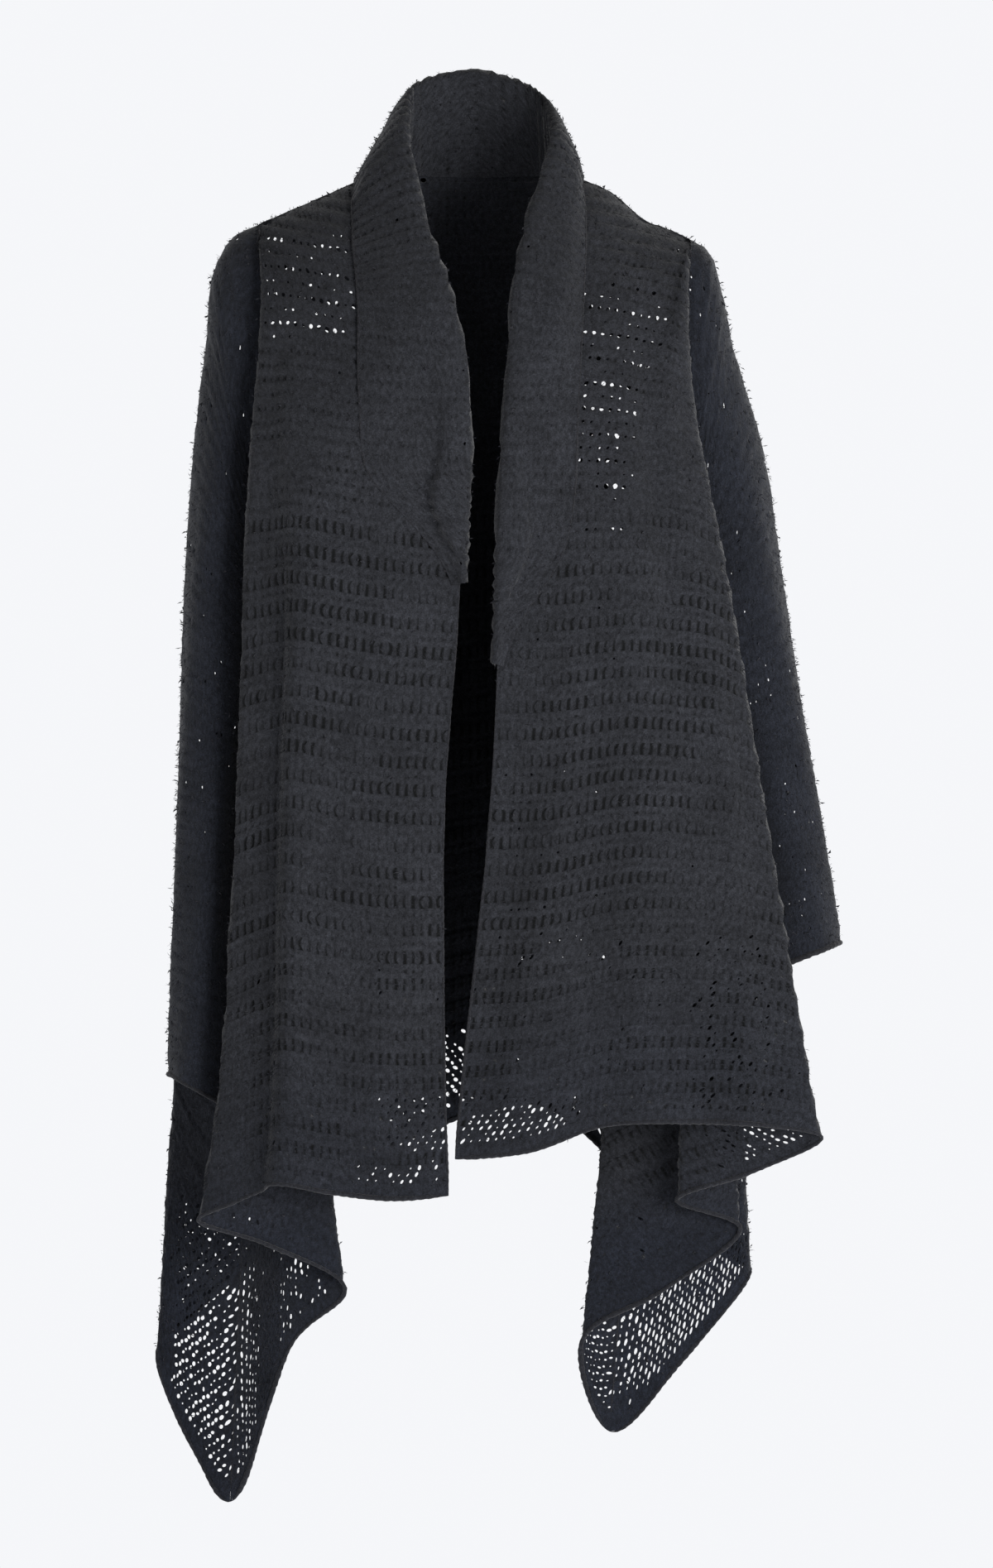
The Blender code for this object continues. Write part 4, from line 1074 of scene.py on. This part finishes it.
def drop_share(points):
    """The side points are open in two places on the right, and in one slanted band on the left."""
    right = patch_share(points, RIGHT_DROP) * (points[:, 0] < 0)
    (x_high, z_high), (x_low, z_low) = LEFT_DROP_LINE
    line = z_high + (points[:, 0] - x_high) * (z_low - z_high) / (x_low - x_high)
    under = line - points[:, 2]
    end = ramp(under, LEFT_DROP_REACH - LEFT_DROP_SOFT, LEFT_DROP_REACH + LEFT_DROP_SOFT)
    left = ramp(under, -0.006, 0.006) * (1 - end) * (points[:, 0] > x_low - LEFT_DROP_SOFT)
    return np.maximum(right, left) * (points[:, 2] < DROP_TOP_Z)


# How much painted bluish shade each piece gets: cloth that hangs in shade, on the back, near the
# hem and on the side points, is painted darker and bluer
FRONT_COOL_SHADE = 0.05
BACK_COOL_SHADE = 0.35
FRONT_EYELETS = {EYELET: 0.46, DOT: 0.30, NET: 0.32}
BACK_EYELETS = {EYELET: 0.86, DOT: 0.80, NET: 0.46}
FEW_OPEN = 0.1  # where no more of the back's eyelets than this share would be open, none is
DOTS_OPEN = 0.6
HEM_BAND = 0.9
HEM_BAND_FADE = (0.05, 0.08)
HEM_COOL_SHADE, HEM_COOL_SHADE_FADE = 0.35, (0.02, 0.16)
DROP_COOL_SHADE = 0.5


def body_cool_shade(points, to_hem, base):
    """How much painted bluish shade the yarn gets: more near the hem and on the side points."""
    low = 1 - ramp(points[:, 2], DROP_TOP_Z - 0.04, DROP_TOP_Z + DROP_FADE)
    near_hem = 1 - ramp(to_hem, *HEM_COOL_SHADE_FADE)
    return np.clip(base + HEM_COOL_SHADE * near_hem + DROP_COOL_SHADE * low, 0, 1)


def front_rule(points, to_hem, kind):
    """Share open, size and painted bluish shade of the fronts' eyelets."""
    share = np.maximum(patch_share(points, OPEN_PATCHES), drop_share(points))
    share = share * (DOTS_OPEN if kind == DOT else 1.0)
    size = np.full(len(points), FRONT_EYELETS.get(kind, 0.0))
    return share, size, body_cool_shade(points, to_hem, FRONT_COOL_SHADE)


def back_rule(points, to_hem, kind):
    """The same of the back's, which has a band of net at the hem too."""
    share = np.maximum(patch_share(points, BACK_PATCHES), drop_share(points))
    band = (HEM_BAND * (1 - ramp(to_hem, *HEM_BAND_FADE))
            * ramp(points[:, 2], DROP_TOP_Z, DROP_TOP_Z + DROP_FADE))
    share = np.maximum(share, band)
    size = np.where(share > FEW_OPEN, BACK_EYELETS.get(kind, 0.0), 0.0)
    return share, size, body_cool_shade(points, to_hem, BACK_COOL_SHADE)


# %% Knit the fronts and the back
panels = {}
hem_lines = {}
surfaces = {}
for panel in PANELS:
    yoke_repeat = BACK_REPEAT if panel.name == "back" else YOKE_REPEAT
    courses = split_ribs(course_table(panel.total, yoke_repeat))
    heights = course_heights(courses)
    places = np.linspace(panel.first, panel.last, SAMPLES_ACROSS)
    shares, to_hem = panel_shares(places, panel.tilt, panel.total, heights)
    shares[:, -1] = 1.0
    to_hem[:, -1] = 0.0
    points, outward = panel_surface(places, shares)
    samples = np.concatenate((points, outward, to_hem[..., None]), axis=2)
    reference = round(panel.reference * (SAMPLES_ACROSS - 1))
    rows = [row_of_stitches(samples[:, row], reference) for row in range(len(heights))]
    rule = back_rule if panel.name == "back" else front_rule
    panels[panel.name] = knit_rows(f"knit_{panel.name}", rows, courses, rule)
    hem_lines[panel.name] = samples[:, -1]
    surfaces[panel.name] = samples

# %% [markdown]
# ## Sleeves
#
# A sleeve is knitted as a tube, so each course is a ring that meets itself under the arm. It keeps
# the same number of stitches all the way, and the rings tighten towards the cuff. Its pattern is
# pulled flat, so it shows less than on the body.

# %% Knit the sleeves
SLEEVE_STITCHES = 46
SLEEVE_CREASE = 0.0022


def sleeve_samples(side, shares):
    """Rings of points, outward directions and distances to the cuff, at shares of the length."""
    table = np.array([section.outer + section.inner + (section.centre_y, section.half_depth)
                      for section in SLEEVE[side]])
    middles = (table[:, 0:2] + table[:, 2:4]) / 2
    reach = reach_along(middles)
    rows = smooth(reach / reach[-1], table, shares)
    turns = pi - 2 * pi * np.arange(SLEEVE_STITCHES) / SLEEVE_STITCHES
    if side == "left":
        turns = -turns
    outer = np.stack((rows[:, 0], np.zeros(len(rows)), rows[:, 1]), axis=1)
    inner = np.stack((rows[:, 2], np.zeros(len(rows)), rows[:, 3]), axis=1)
    centre = (outer + inner) / 2 + np.stack((0 * rows[:, 4], rows[:, 4], 0 * rows[:, 4]), axis=1)
    depth = np.stack((0 * rows[:, 5], -rows[:, 5], 0 * rows[:, 5]), axis=1)
    points = (centre + ((outer - inner) / 2) * np.cos(turns)[:, None, None]
              + depth * np.sin(turns)[:, None, None])
    around = np.roll(points, -1, axis=0) - np.roll(points, 1, axis=0)
    outward = unit(np.cross(around, np.gradient(points, axis=1)))
    if np.sum(outward * (points - points.mean(axis=0))) < 0:
        outward = -outward
    waves = np.sin(turns * 3 + 1.0)[:, None]
    crease = SLEEVE_CREASE * waves * np.sin(shares * 9 + turns[:, None] * 2)
    points = points + outward * crease[..., None] * ramp(shares, 0.05, 0.2)[None, :, None]
    to_hem = np.broadcast_to((1 - shares) * reach[-1], points.shape[:2])
    samples = np.concatenate((points, outward, to_hem[..., None]), axis=2)
    return np.concatenate((samples, samples[:1])), reach[-1]


SLEEVE_OPEN = {"right": 0.06, "left": 0.14}
SLEEVE_OPEN_BEHIND = 0.8
SLEEVE_EYELET, SLEEVE_EYELET_BEHIND = 0.26, 0.55
# The sleeves hang back in shade, painted as a bluish shade
SLEEVE_COOL_SHADE = 0.75


def sleeve_rule_for(side):
    """A sleeve's rule: few eyelets are open in front, and most of them behind."""
    def rule(points, to_hem, kind):
        behind = points[:, 1] > 0
        share = np.where(behind, SLEEVE_OPEN_BEHIND, SLEEVE_OPEN[side]) * (kind in (EYELET, DOT))
        size = np.where(behind, SLEEVE_EYELET_BEHIND, SLEEVE_EYELET)
        return share, size, np.full(len(points), SLEEVE_COOL_SHADE)
    return rule


SLEEVE_AREA = {"right": 0.143, "left": 0.122}
SLEEVE_RELIEF = 0.5
cuff_lines = {}
armhole_lines = {}
for side in ("right", "left"):
    length = sleeve_samples(side, np.array((0.0, 1.0)))[1]
    repeats = round((length - 2 * EDGE_COURSE) / sum(height for height, _ in YOKE_REPEAT))
    courses = split_ribs(YOKE_REPEAT * repeats + ((EDGE_COURSE, EDGE),) * 2)
    heights = course_heights(courses)
    samples, _ = sleeve_samples(side, heights / heights[-1])
    count = np.arange(SLEEVE_STITCHES + 1)
    rows = [(count, count.astype(float), samples[:, row]) for row in range(len(heights))]
    panels[f"sleeve_{side}"] = knit_rows(f"knit_sleeve_{side}", rows, courses,
                                         sleeve_rule_for(side), SLEEVE_RELIEF, ring=True)
    cuff_lines[side] = samples[:, -1]
    armhole_lines[side] = samples[:, 0]

# %% [markdown]
# ## Collar
#
# The collar is one long strip. It is sewn along the opening and round the back of the neck, stands
# up from that seam, turns over a crest and falls onto the shoulders and fronts. Its stations are
# sections across it. The fall is dropped onto the cloth below it and lifted until it is clear,
# because a hand-placed edge would sink into the fronts somewhere along its length. Towards both
# ends the fall then settles onto the fronts, so that the strip seems to grow out of them.

# %% Functions for the collar
def between(stops, points, at):
    """A point on the straight-sided line through points."""
    return np.array([np.interp(at, stops, points[:, axis]) for axis in range(3)])


def collar_seam(edges, along):
    """A point beside the edge that the collar is sewn to, just clear of it."""
    clear = HALF + SEAM_GAP + EDGE_EASE
    if along < 1:
        point = between(ROW_STOPS, edges["right"], COLLAR_LOW["right"] * (1 - along))
        return point + np.array((clear, HALF * min(1.0, (1 - along) * LAP_RATE), 0))
    if along > 3:
        point = between(ROW_STOPS, edges["left"], COLLAR_LOW["left"] * (along - 3))
        return point + np.array((-clear, HALF * min(1.0, (along - 3) * LAP_RATE), 0))
    point = between(edges["places"], edges["neckline"], along + 3)
    behind = point[1] - NECK_POINT["right"][1]
    inward = unit(np.array((-point[0], -behind * NECK_SQUEEZE, 0)))
    lapped = min(1.0, NAPE_LAP_RATE * min(along - 1, 3 - along))
    return point + inward * (clear + HALF * lapped)


def collar_section(seam, roll, fall, lift):
    """Points across the collar: seam, back of the roll, crest, front of the roll, fall."""
    down = unit(fall - roll)
    out = unit(lift - down * np.dot(lift, down))
    roll = roll - down * max(0.0, np.dot(roll - seam, down) + ROLL_REACH)
    centre = roll + down * ROLL_RADIUS
    back = centre - out * ROLL_RADIUS
    back = back - down * max(0.0, np.dot(back - seam, down) + ROLL_CLEAR)
    over = roll + (fall - roll) * OVER_SHARE + out * ROLL_RADIUS * OVER_LIFT
    bends = np.array((seam, back, roll, centre + out * ROLL_RADIUS, over, fall))
    reach = reach_along(bends)
    at = np.interp(COLLAR_SECTION, np.arange(len(bends)), reach)
    return smooth(reach, bends, at)


def clear_between(points, lifts, trees):
    """Raises neighbouring stations where the cloth between them would touch the body."""
    for _ in range(CLEAR_ROUNDS):
        for column in range(len(points) - 1):
            for index in range(FALL_FROM, points.shape[1]):
                middle = (points[column, index] + points[column + 1, index]) / 2
                room = min(tree.find_nearest(Vector(middle))[3] for tree in trees)
                if room < COLLAR_CLEAR:
                    points[column, index] += lifts[column] * (COLLAR_CLEAR - room)
                    points[column + 1, index] += lifts[column + 1] * (COLLAR_CLEAR - room)


def lay_on(point, lift, trees, settle):
    """Moves a point out along lift until it clears the cloth; a settled one first drops to it."""
    if settle:
        start = Vector(point + lift * RAY_START)
        hits = [tree.ray_cast(start, Vector(-lift), RAY_LENGTH) for tree in trees]
        hits = [(hit[3], hit[0]) for hit in hits if hit[0] is not None]
        if hits:
            point = np.array(min(hits)[1]) + lift * COLLAR_LIFT
    for _ in range(LAY_ROUNDS):
        room = min(tree.find_nearest(Vector(point))[3] for tree in trees)
        if room >= COLLAR_LIFT:
            break
        point = point + lift * (COLLAR_LIFT - room) * LAY_STEP
    return point


def tree_of(points):
    """A tree of a grid's faces, in which rays and nearest points are found fast."""
    columns, rows = points.shape[:2]
    faces = [(c * rows + r, (c + 1) * rows + r, (c + 1) * rows + r + 1, c * rows + r + 1)
             for c in range(columns - 1) for r in range(rows - 1)]
    return BVHTree.FromPolygons([tuple(p) for p in points.reshape(-1, 3)], faces)


def collar_points(edges, lying_on):
    """The collar's sections at its stations, as the CAD model has them."""
    table = np.array([station.roll + station.fall + station.lift_from + (station.along,)
                      for station in COLLAR], dtype=float)
    reach = reach_along(table[:, 0:3])
    rows = smooth(reach, table, np.linspace(0, reach[-1], COLLAR_STOPS))
    lifts = unit(rows[:, 6:9])
    points = np.empty((COLLAR_STOPS, len(COLLAR_SECTION), 3))
    for column, (row, lift) in enumerate(zip(rows, lifts)):
        seam = collar_seam(edges, min(max(row[9], 0.0), 4.0))
        points[column] = collar_section(seam, row[0:3], row[3:6], lift)
        for index in range(FALL_FROM, len(COLLAR_SECTION)):
            settle = index == len(COLLAR_SECTION) - 1
            points[column, index] = lay_on(points[column, index], lift, lying_on, settle)
    clear_between(points, lifts, lying_on)
    return points


def cad_grids():
    """The edges that the collar is sewn to, and a tree of each body panel."""
    grids = {}
    for panel in PANELS:
        places = body.columns(panel.first, panel.last)
        grids[panel.name] = (places, body.grid(places))
    places, back = grids["back"]
    tops = np.array([body.place_at(u) for u in places])
    on_neck = (tops > 3.9) & (tops < 6.1)
    edges = {"right": grids["front_right"][1][0], "left": grids["front_left"][1][-1],
             "places": tops[on_neck], "neckline": back[on_neck, 0]}
    return edges, [tree_of(points) for _, points in grids.values()]


# %% Knit the collar
COLLAR_ACROSS = 60
COLLAR_AREA = 0.115
COLLAR_RELIEF = 0.85
COLLAR_TAPER = 0.09
COLLAR_END = 0.84
COLLAR_JITTER = 0.14 * MM
COLLAR_SINK = 1.2 * MM
COLLAR_END_SINK = 1.4 * MM
SINK_FROM = 0.80  # the share of the way across from which the fall sinks into the pile
END_CLEAR = 0.9 * MM
END_PART = (0.06, 0.24)  # shares of the strip's length between which an end starts to settle
SETTLE_PART = (0.55, 0.90)  # and shares of the way across
RAY_BEFORE, RAY_REACH = 10 * MM, 24 * MM
CREST = COLLAR_SECTION.index(2.0)  # the place in a section where the roll is highest
COLLAR_HOLES, COLLAR_EYELET = 0.006, 0.30


def collar_rule(points, to_hem, kind):
    """The collar's rule: hardly any eyelet is open."""
    count = len(points)
    return tuple(np.full(count, value) for value in (COLLAR_HOLES, COLLAR_EYELET, FRONT_COOL_SHADE))


def settle_on(cloth, fine, settling):
    """Moves points back onto the cloth behind them, as far as settling says."""
    for row, column in zip(*np.nonzero(settling > 0.01)):
        start = Vector(fine[row, column] - np.array((0, RAY_BEFORE, 0)))
        hit = cloth.ray_cast(start, Vector((0, 1, 0)), RAY_REACH)[3]
        if hit is not None:
            fine[row, column, 1] += settling[row, column] * max(hit - RAY_BEFORE - END_CLEAR, 0.0)


def collar_samples(stations, crest_reach, share):
    """Sections across the strip at shares of its length, with outward directions."""
    fine = np.stack([smooth(crest_reach, stations[:, index], share * crest_reach[-1])
                     for index in range(stations.shape[1])], axis=1)
    stops = np.array(COLLAR_SECTION)
    end = np.minimum(share, 1 - share)
    kept = COLLAR_END + (1 - COLLAR_END) * ramp(end, 0, COLLAR_TAPER)
    fine = np.stack([smooth(stops, section, np.linspace(0, stops[-1] * part, COLLAR_ACROSS))
                     for section, part in zip(fine, kept)])
    outward = unit(np.cross(np.gradient(fine, axis=0), np.gradient(fine, axis=1)))
    near_end = 1 - ramp(end, *END_PART)
    sink = COLLAR_SINK + (COLLAR_END_SINK - COLLAR_SINK) * near_end
    across = np.linspace(0, 1, COLLAR_ACROSS)
    fine = fine - outward * (sink[:, None] * ramp(across, SINK_FROM, 1.0))[..., None]
    settling = near_end[:, None] * ramp(across * kept[:, None], *SETTLE_PART)
    for front in ("front_right", "front_left"):
        settle_on(tree_of(surfaces[front][:, :, POINT]), fine, settling)
    to_hem = np.ones(fine.shape[:2] + (1,))
    return np.concatenate((fine, outward, to_hem), axis=2)[:, ::-1]


stations = collar_points(*cad_grids())
crest_reach = reach_along(stations[:, CREST])
repeats = round(crest_reach[-1] / sum(height for height, _ in YOKE_REPEAT))
courses = split_ribs(YOKE_REPEAT * repeats)
heights = course_heights(courses)
samples = collar_samples(stations, crest_reach, heights / heights[-1])
rows = [row_of_stitches(section, 0) for section in samples]
panels["collar"] = knit_rows("knit_collar", rows, courses, collar_rule, COLLAR_RELIEF,
                             jitter=COLLAR_JITTER)
collar_edge = samples[:, 0]

# %% [markdown]
# ## Rolled edges and seams
#
# Knit curls at a free edge, so the hem, the cuffs, the opening and the collar's edge end in a small
# roll. The pieces are joined by a fine chain of yarn, sunk in the pile. Both are lumpy cords that
# follow the pieces' own last rows, one lump to a stitch.

# %% Rolls and seams
ROLL = 1.8 * MM
COLLAR_ROLL = 1.2 * MM
EDGE_CHAIN = 1.0 * MM
SEAM_CHAIN = 0.7 * MM
CORD_SIDES = 8
CORD_STEPS = 3  # rings of points to a stitch
LUMP, LUMP_NOISE = 0.14, 0.05
CORD_THIN, CORD_SWELL = 0.75, 0.5
CORD_TIP = 0.25
COLLAR_FADE = 45.0
SHORTEST_STEP = 1e-5


def lumpy_cord(name, samples, radius, fade=3.0, cool_shade=0.1):
    """A cord along a line of samples, with one lump to a stitch. It thins out at its ends over
    as many stitches as fade says."""
    path, outward = samples[:, POINT], samples[:, OUT]
    along = reach_along(path)
    at = np.linspace(0, along[-1], max(8, round(along[-1] / (STITCH / CORD_STEPS))))
    line = read_along(at, along, path)
    facing = read_along(at, along, outward)
    ahead = unit(np.gradient(line, axis=0))
    side = unit(np.cross(ahead, facing))
    up = np.cross(side, ahead)
    lumps = LUMP * np.sin(2 * pi * at / STITCH)
    swell = radius * (1 + lumps + rng.normal(0, LUMP_NOISE, len(at)))
    swell *= CORD_THIN + CORD_SWELL * uneven(line)
    if fade:
        swell *= np.clip(np.minimum(at, along[-1] - at) / (fade * STITCH) + CORD_TIP, 0, 1)
    turns = 2 * pi * np.arange(CORD_SIDES) / CORD_SIDES
    points = (line[:, None] + (up[:, None] * np.cos(turns)[:, None]
                               + side[:, None] * np.sin(turns)[:, None]) * swell[:, None, None])
    here = np.arange(len(at) - 1)[:, None] * CORD_SIDES
    spoke = np.arange(CORD_SIDES)
    a, b = here + spoke, here + (spoke + 1) % CORD_SIDES
    c, d = b + CORD_SIDES, a + CORD_SIDES
    triangles = np.concatenate((np.stack((a, b, c), axis=-1).reshape(-1, 3),
                                np.stack((a, c, d), axis=-1).reshape(-1, 3)))
    wale = np.repeat(at / STITCH, CORD_SIDES)
    traits = traits_of(len(wale), 0.0, cool_shade, wale, 0.0)
    return mesh_object(name, points.reshape(-1, 3), triangles, traits)


# Rolls and seams get some painted bluish shade too
rolls = {}
for name, line in hem_lines.items():
    rolls[name] = lumpy_cord(f"rolled_hem_{name}", line, ROLL, cool_shade=0.3)
for side, line in cuff_lines.items():
    rolls[f"sleeve_{side}"] = lumpy_cord(f"rolled_cuff_{side}", line, ROLL, 0)
rolls["collar"] = lumpy_cord("rolled_collar_edge", collar_edge, COLLAR_ROLL, COLLAR_FADE)
seams = []
for side, line in armhole_lines.items():
    seams.append(lumpy_cord(f"armhole_seam_{side}", line, SEAM_CHAIN, 0))
for name, panel, column, radius in (("side_seam_right", "front_right", -1, SEAM_CHAIN),
                                    ("side_seam_left", "front_left", 0, SEAM_CHAIN),
                                    ("opening_edge_right", "front_right", 0, EDGE_CHAIN),
                                    ("opening_edge_left", "front_left", -1, EDGE_CHAIN)):
    line = surfaces[panel][column]
    steps = np.linalg.norm(np.diff(line[:, POINT], axis=0), axis=1)
    line = line[np.concatenate(([True], steps > SHORTEST_STEP))]
    seams.append(lumpy_cord(name, line, radius, cool_shade=0.2))
print("rolls and seams", len(rolls) + len(seams))

# %% [markdown]
# ## The haze of fibre
#
# Brushed mohair has fibres that stand a few millimetres off the yarn. They soften every outline and
# close the small holes. Hair particles would do, but strands that are real triangles stay the same
# in every view and in the exported model. Each strand is two thin triangles, bent a little, rooted
# at a random spot on its piece.

# %% Scatter the fibres
STRAND_WIDTH = 0.11 * MM
STRAND_LENGTH = 2.4 * MM
LONGEST_STRAND = 6.0 * MM
STRANDS_PER_SQUARE_METRE = 150000
SHORTEST_STRAND = 1.0 * MM
OUTWARD_STRANDS = 0.8  # the share of strands that stand outward, the others inward
STRAND_PARTS = (0.55, 0.45)  # the shares of a strand's length below and above its bend
STRAND_BEND = 0.6
STRAND_LIFT = 0.5
DROOP = np.array((0, 0, -0.25))


def haze(name, source, strands):
    """A mesh of bent strands rooted on the source piece's surface."""
    mesh = source.data
    points = np.empty(len(mesh.vertices) * 3, dtype=np.float32)
    mesh.vertices.foreach_get("co", points)
    points = points.reshape(-1, 3).astype(float)
    corners = np.empty(len(mesh.loops), dtype=np.int32)
    mesh.loops.foreach_get("vertex_index", corners)
    corners = corners.reshape(-1, 3)
    a, b, c = (points[corners[:, i]] for i in range(3))
    normal = np.cross(b - a, c - a)
    weight = np.linalg.norm(normal, axis=1)
    chosen = rng.choice(len(corners), strands, p=weight / weight.sum())
    share = rng.dirichlet((1, 1, 1), strands)
    root = a[chosen] * share[:, :1] + b[chosen] * share[:, 1:2] + c[chosen] * share[:, 2:]
    facing = np.where(rng.uniform(size=strands) < OUTWARD_STRANDS, 1, -1)[:, None]
    out = unit(normal[chosen]) * facing
    way = unit(out * STRAND_LIFT + unit(rng.normal(size=(strands, 3))))
    bend = unit(way + rng.normal(0, STRAND_BEND, (strands, 3)) + DROOP)
    length = rng.gamma(3.0, STRAND_LENGTH / 3, strands)
    length = length.clip(SHORTEST_STRAND, LONGEST_STRAND)[:, None]
    middle = root + way * length * STRAND_PARTS[0]
    tip = middle + bend * length * STRAND_PARTS[1]
    side = unit(np.cross(way, rng.normal(size=(strands, 3)))) * STRAND_WIDTH / 2
    vertices = np.stack((root - side, root + side, middle, tip), axis=1).reshape(-1, 3)
    own = np.arange(strands)[:, None] * 4
    triangles = np.concatenate((own + np.array((0, 1, 2)), own + np.array((1, 3, 2))))
    # Each strand gets a random share of the painted bluish shade
    cool_shade = np.repeat(rng.uniform(0, 0.5, strands), 4)
    return mesh_object(name, vertices, triangles, traits_of(len(vertices), 0.0, cool_shade))


AREAS = {"collar": COLLAR_AREA, **{f"sleeve_{side}": area for side, area in SLEEVE_AREA.items()},
         **{panel.name: panel.area for panel in PANELS}}
density = STRANDS_PER_SQUARE_METRE * 1.0
hazes = {name: haze(f"haze_{name}", piece, int(AREAS[name] * density))
         for name, piece in panels.items()}
print("strands", sum(len(thing.data.polygons) // 2 for thing in hazes.values()))

# %% [markdown]
# ## Materials
#
# The yarn is brushed wool and mohair, dyed charcoal. Wool has no gloss to speak of: light goes in
# among the fibres and comes back from many of them at a low angle, which shows as a pale bloom at
# the edges of the form. So the surface is fully rough with some sheen. The dye takes unevenly, so
# the colour drifts by a shade over some centimetres, and single fibres are lighter or darker.
# The pits between stitches are painted near black, as painted shade, because almost no light comes
# back out of them. Cloth that hangs in shade gets a painted bluish shade, darker and bluer. Each
# stitch's two slanting legs, 3.6 mm a ply, are too fine for mesh and are left to the bump.

# %% Brushed mohair knit
YARN_LIT = "#242529"
# The pits' painted shade, near black
YARN_PIT_SHADE = "#060708"
# Painted shade: the yarn darker and bluer where it hangs in shade
YARN_COOL_SHADE = "#181b23"
ROLL_LIT = "#242427"
HAZE_LIT = "#2b2b2f"
FIBRE_SCALE = 1 / (1.0 * MM)
TUFT_SCALE = 1 / (3.2 * MM)
MOTTLE_SCALE = 1 / (40 * MM)
TUFT_SQUASH = 0.55  # tufts are longer down the cloth than across it
PLY = 3.6 * MM
LEG_SLANT = 1.6
LEG_HEIGHT = 0.12

# Ranges of noise and of pit depth, and how much lighter or darker they make the yarn; the darkening
# in pits is painted shade
NOISE_RANGE = (0.3, 0.7)
MOTTLE_SHADE = (0.84, 1.16)
TUFT_SHADE = (0.62, 1.42)
FIBRE_SHADE = (0.55, 1.55)
PIT_RANGE = (0.38, 0.92)
PIT_SHADE = (0.0, 0.94)


def calculate(tree, operation, *terms):
    """A Math node on numbers and other nodes' outputs, in the order of its inputs."""
    numbers = {place: term for place, term in enumerate(terms) if isinstance(term, float)}
    outputs = {place: term for place, term in enumerate(terms) if place not in numbers}
    node = add_node(tree, "ShaderNodeMath", {"operation": operation, **numbers}, outputs)
    return node.outputs["Value"]


def noise(tree, scale, detail, place):
    """A Noise Texture node, from dark to light."""
    settings = {"Scale": scale, "Detail": detail}
    return add_node(tree, "ShaderNodeTexNoise", settings, {"Vector": place}).outputs["Fac"]


FIRST_COLOUR, SECOND_COLOUR, MIXED_COLOUR = 6, 7, 2  # a Mix node has sockets of three kinds


def blend(tree, factor, first, second):
    """A Mix node of two colours. The second is fixed, the first is fixed or an output."""
    settings = {"data_type": "RGBA", SECOND_COLOUR: second}
    links = {"Factor": factor}
    (settings if isinstance(first, tuple) else links)[FIRST_COLOUR] = first
    return add_node(tree, "ShaderNodeMix", settings, links).outputs[MIXED_COLOUR]


def mohair(name, lit, sheen):
    """A matt, fuzzy yarn. Painted pit shade, painted bluish shade and stitch places come from the
    mesh's traits.
    """
    material = bpy.data.materials.new(name)
    material.use_nodes = True
    tree = material.node_tree
    shader = tree.nodes["Principled BSDF"]
    for socket, value in (("Roughness", 0.95), ("Metallic", 0.0), ("Specular IOR Level", 0.2),
                          ("Sheen Weight", sheen), ("Sheen Roughness", 0.45)):
        shader.inputs[socket].default_value = value
    place = add_node(tree, "ShaderNodeTexCoord").outputs["Object"]
    depth, cool_shade, wale, course = (
        add_node(tree, "ShaderNodeAttribute", {"attribute_name": trait}).outputs["Fac"]
        for trait in TRAITS)

    # Light and dark: single fibres, tufts of them along the stitches, and broad mottling
    fibre = noise(tree, FIBRE_SCALE, 3.0, place)
    mottle = noise(tree, MOTTLE_SCALE, 3.0, place)
    on_cloth = add_node(tree, "ShaderNodeCombineXYZ", {}, {
        "X": calculate(tree, "MULTIPLY", wale, STITCH),
        "Y": calculate(tree, "MULTIPLY", course, TUFT_SQUASH)}).outputs["Vector"]
    tuft = noise(tree, TUFT_SCALE, 2.0, on_cloth)
    shade = calculate(tree, "MULTIPLY", spread(tree, mottle, NOISE_RANGE, MOTTLE_SHADE),
                      spread(tree, tuft, NOISE_RANGE, TUFT_SHADE))
    shade = calculate(tree, "MULTIPLY", shade, spread(tree, fibre, NOISE_RANGE, FIBRE_SHADE))

    # The yarn's colour with its painted bluish shade, and painted shade in the pits that get no
    # light
    yarn = blend(tree, cool_shade, linear(lit), linear(YARN_COOL_SHADE))
    tinted = add_node(tree, "ShaderNodeVectorMath", {"operation": "SCALE"},
                      {"Vector": yarn, "Scale": shade})
    pit = spread(tree, depth, PIT_RANGE, PIT_SHADE, interpolation_type="SMOOTHSTEP")
    pitted = blend(tree, pit, tinted.outputs["Vector"], linear(YARN_PIT_SHADE))
    tree.links.new(pitted, shader.inputs["Base Color"])

    # The slanting legs of each stitch, with the fibres over them
    from_middle = calculate(tree, "PINGPONG", wale, 0.5)
    plies = calculate(tree, "DIVIDE", course, PLY)
    slant = calculate(tree, "MULTIPLY_ADD", from_middle, LEG_SLANT, plies)
    legs = calculate(tree, "SINE", calculate(tree, "MULTIPLY", slant, 2 * pi))
    height = calculate(tree, "MULTIPLY_ADD", legs, LEG_HEIGHT, fibre)
    bump = add_node(tree, "ShaderNodeBump", {"Strength": 0.6, "Distance": 0.8 * MM},
                    {"Height": height})
    tree.links.new(bump.outputs["Normal"], shader.inputs["Normal"])
    return material


knit_material = mohair("brushed_mohair_knit", YARN_LIT, 0.14)
roll_material = mohair("brushed_mohair_roll", ROLL_LIT, 0.12)
haze_material = mohair("loose_mohair_fibre", HAZE_LIT, 0.05)


def fasten(thing, material):
    """Gives a piece its material, and fixes it to the one body that there is."""
    thing.data.materials.append(material)
    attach(thing, "root")


for thing in (*rolls.values(), *seams):
    fasten(thing, roll_material)
for thing in hazes.values():
    fasten(thing, haze_material)
for name, piece in panels.items():
    fasten(piece, knit_material)
    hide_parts(name)

# %% Measure the dressed cardigan and finish
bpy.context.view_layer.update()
pieces = [*panels.values(), *rolls.values(), *seams, *hazes.values()]
print("triangles in all", sum(len(thing.data.polygons) for thing in pieces), "largest piece",
      max((len(thing.data.polygons), thing.name) for thing in pieces))
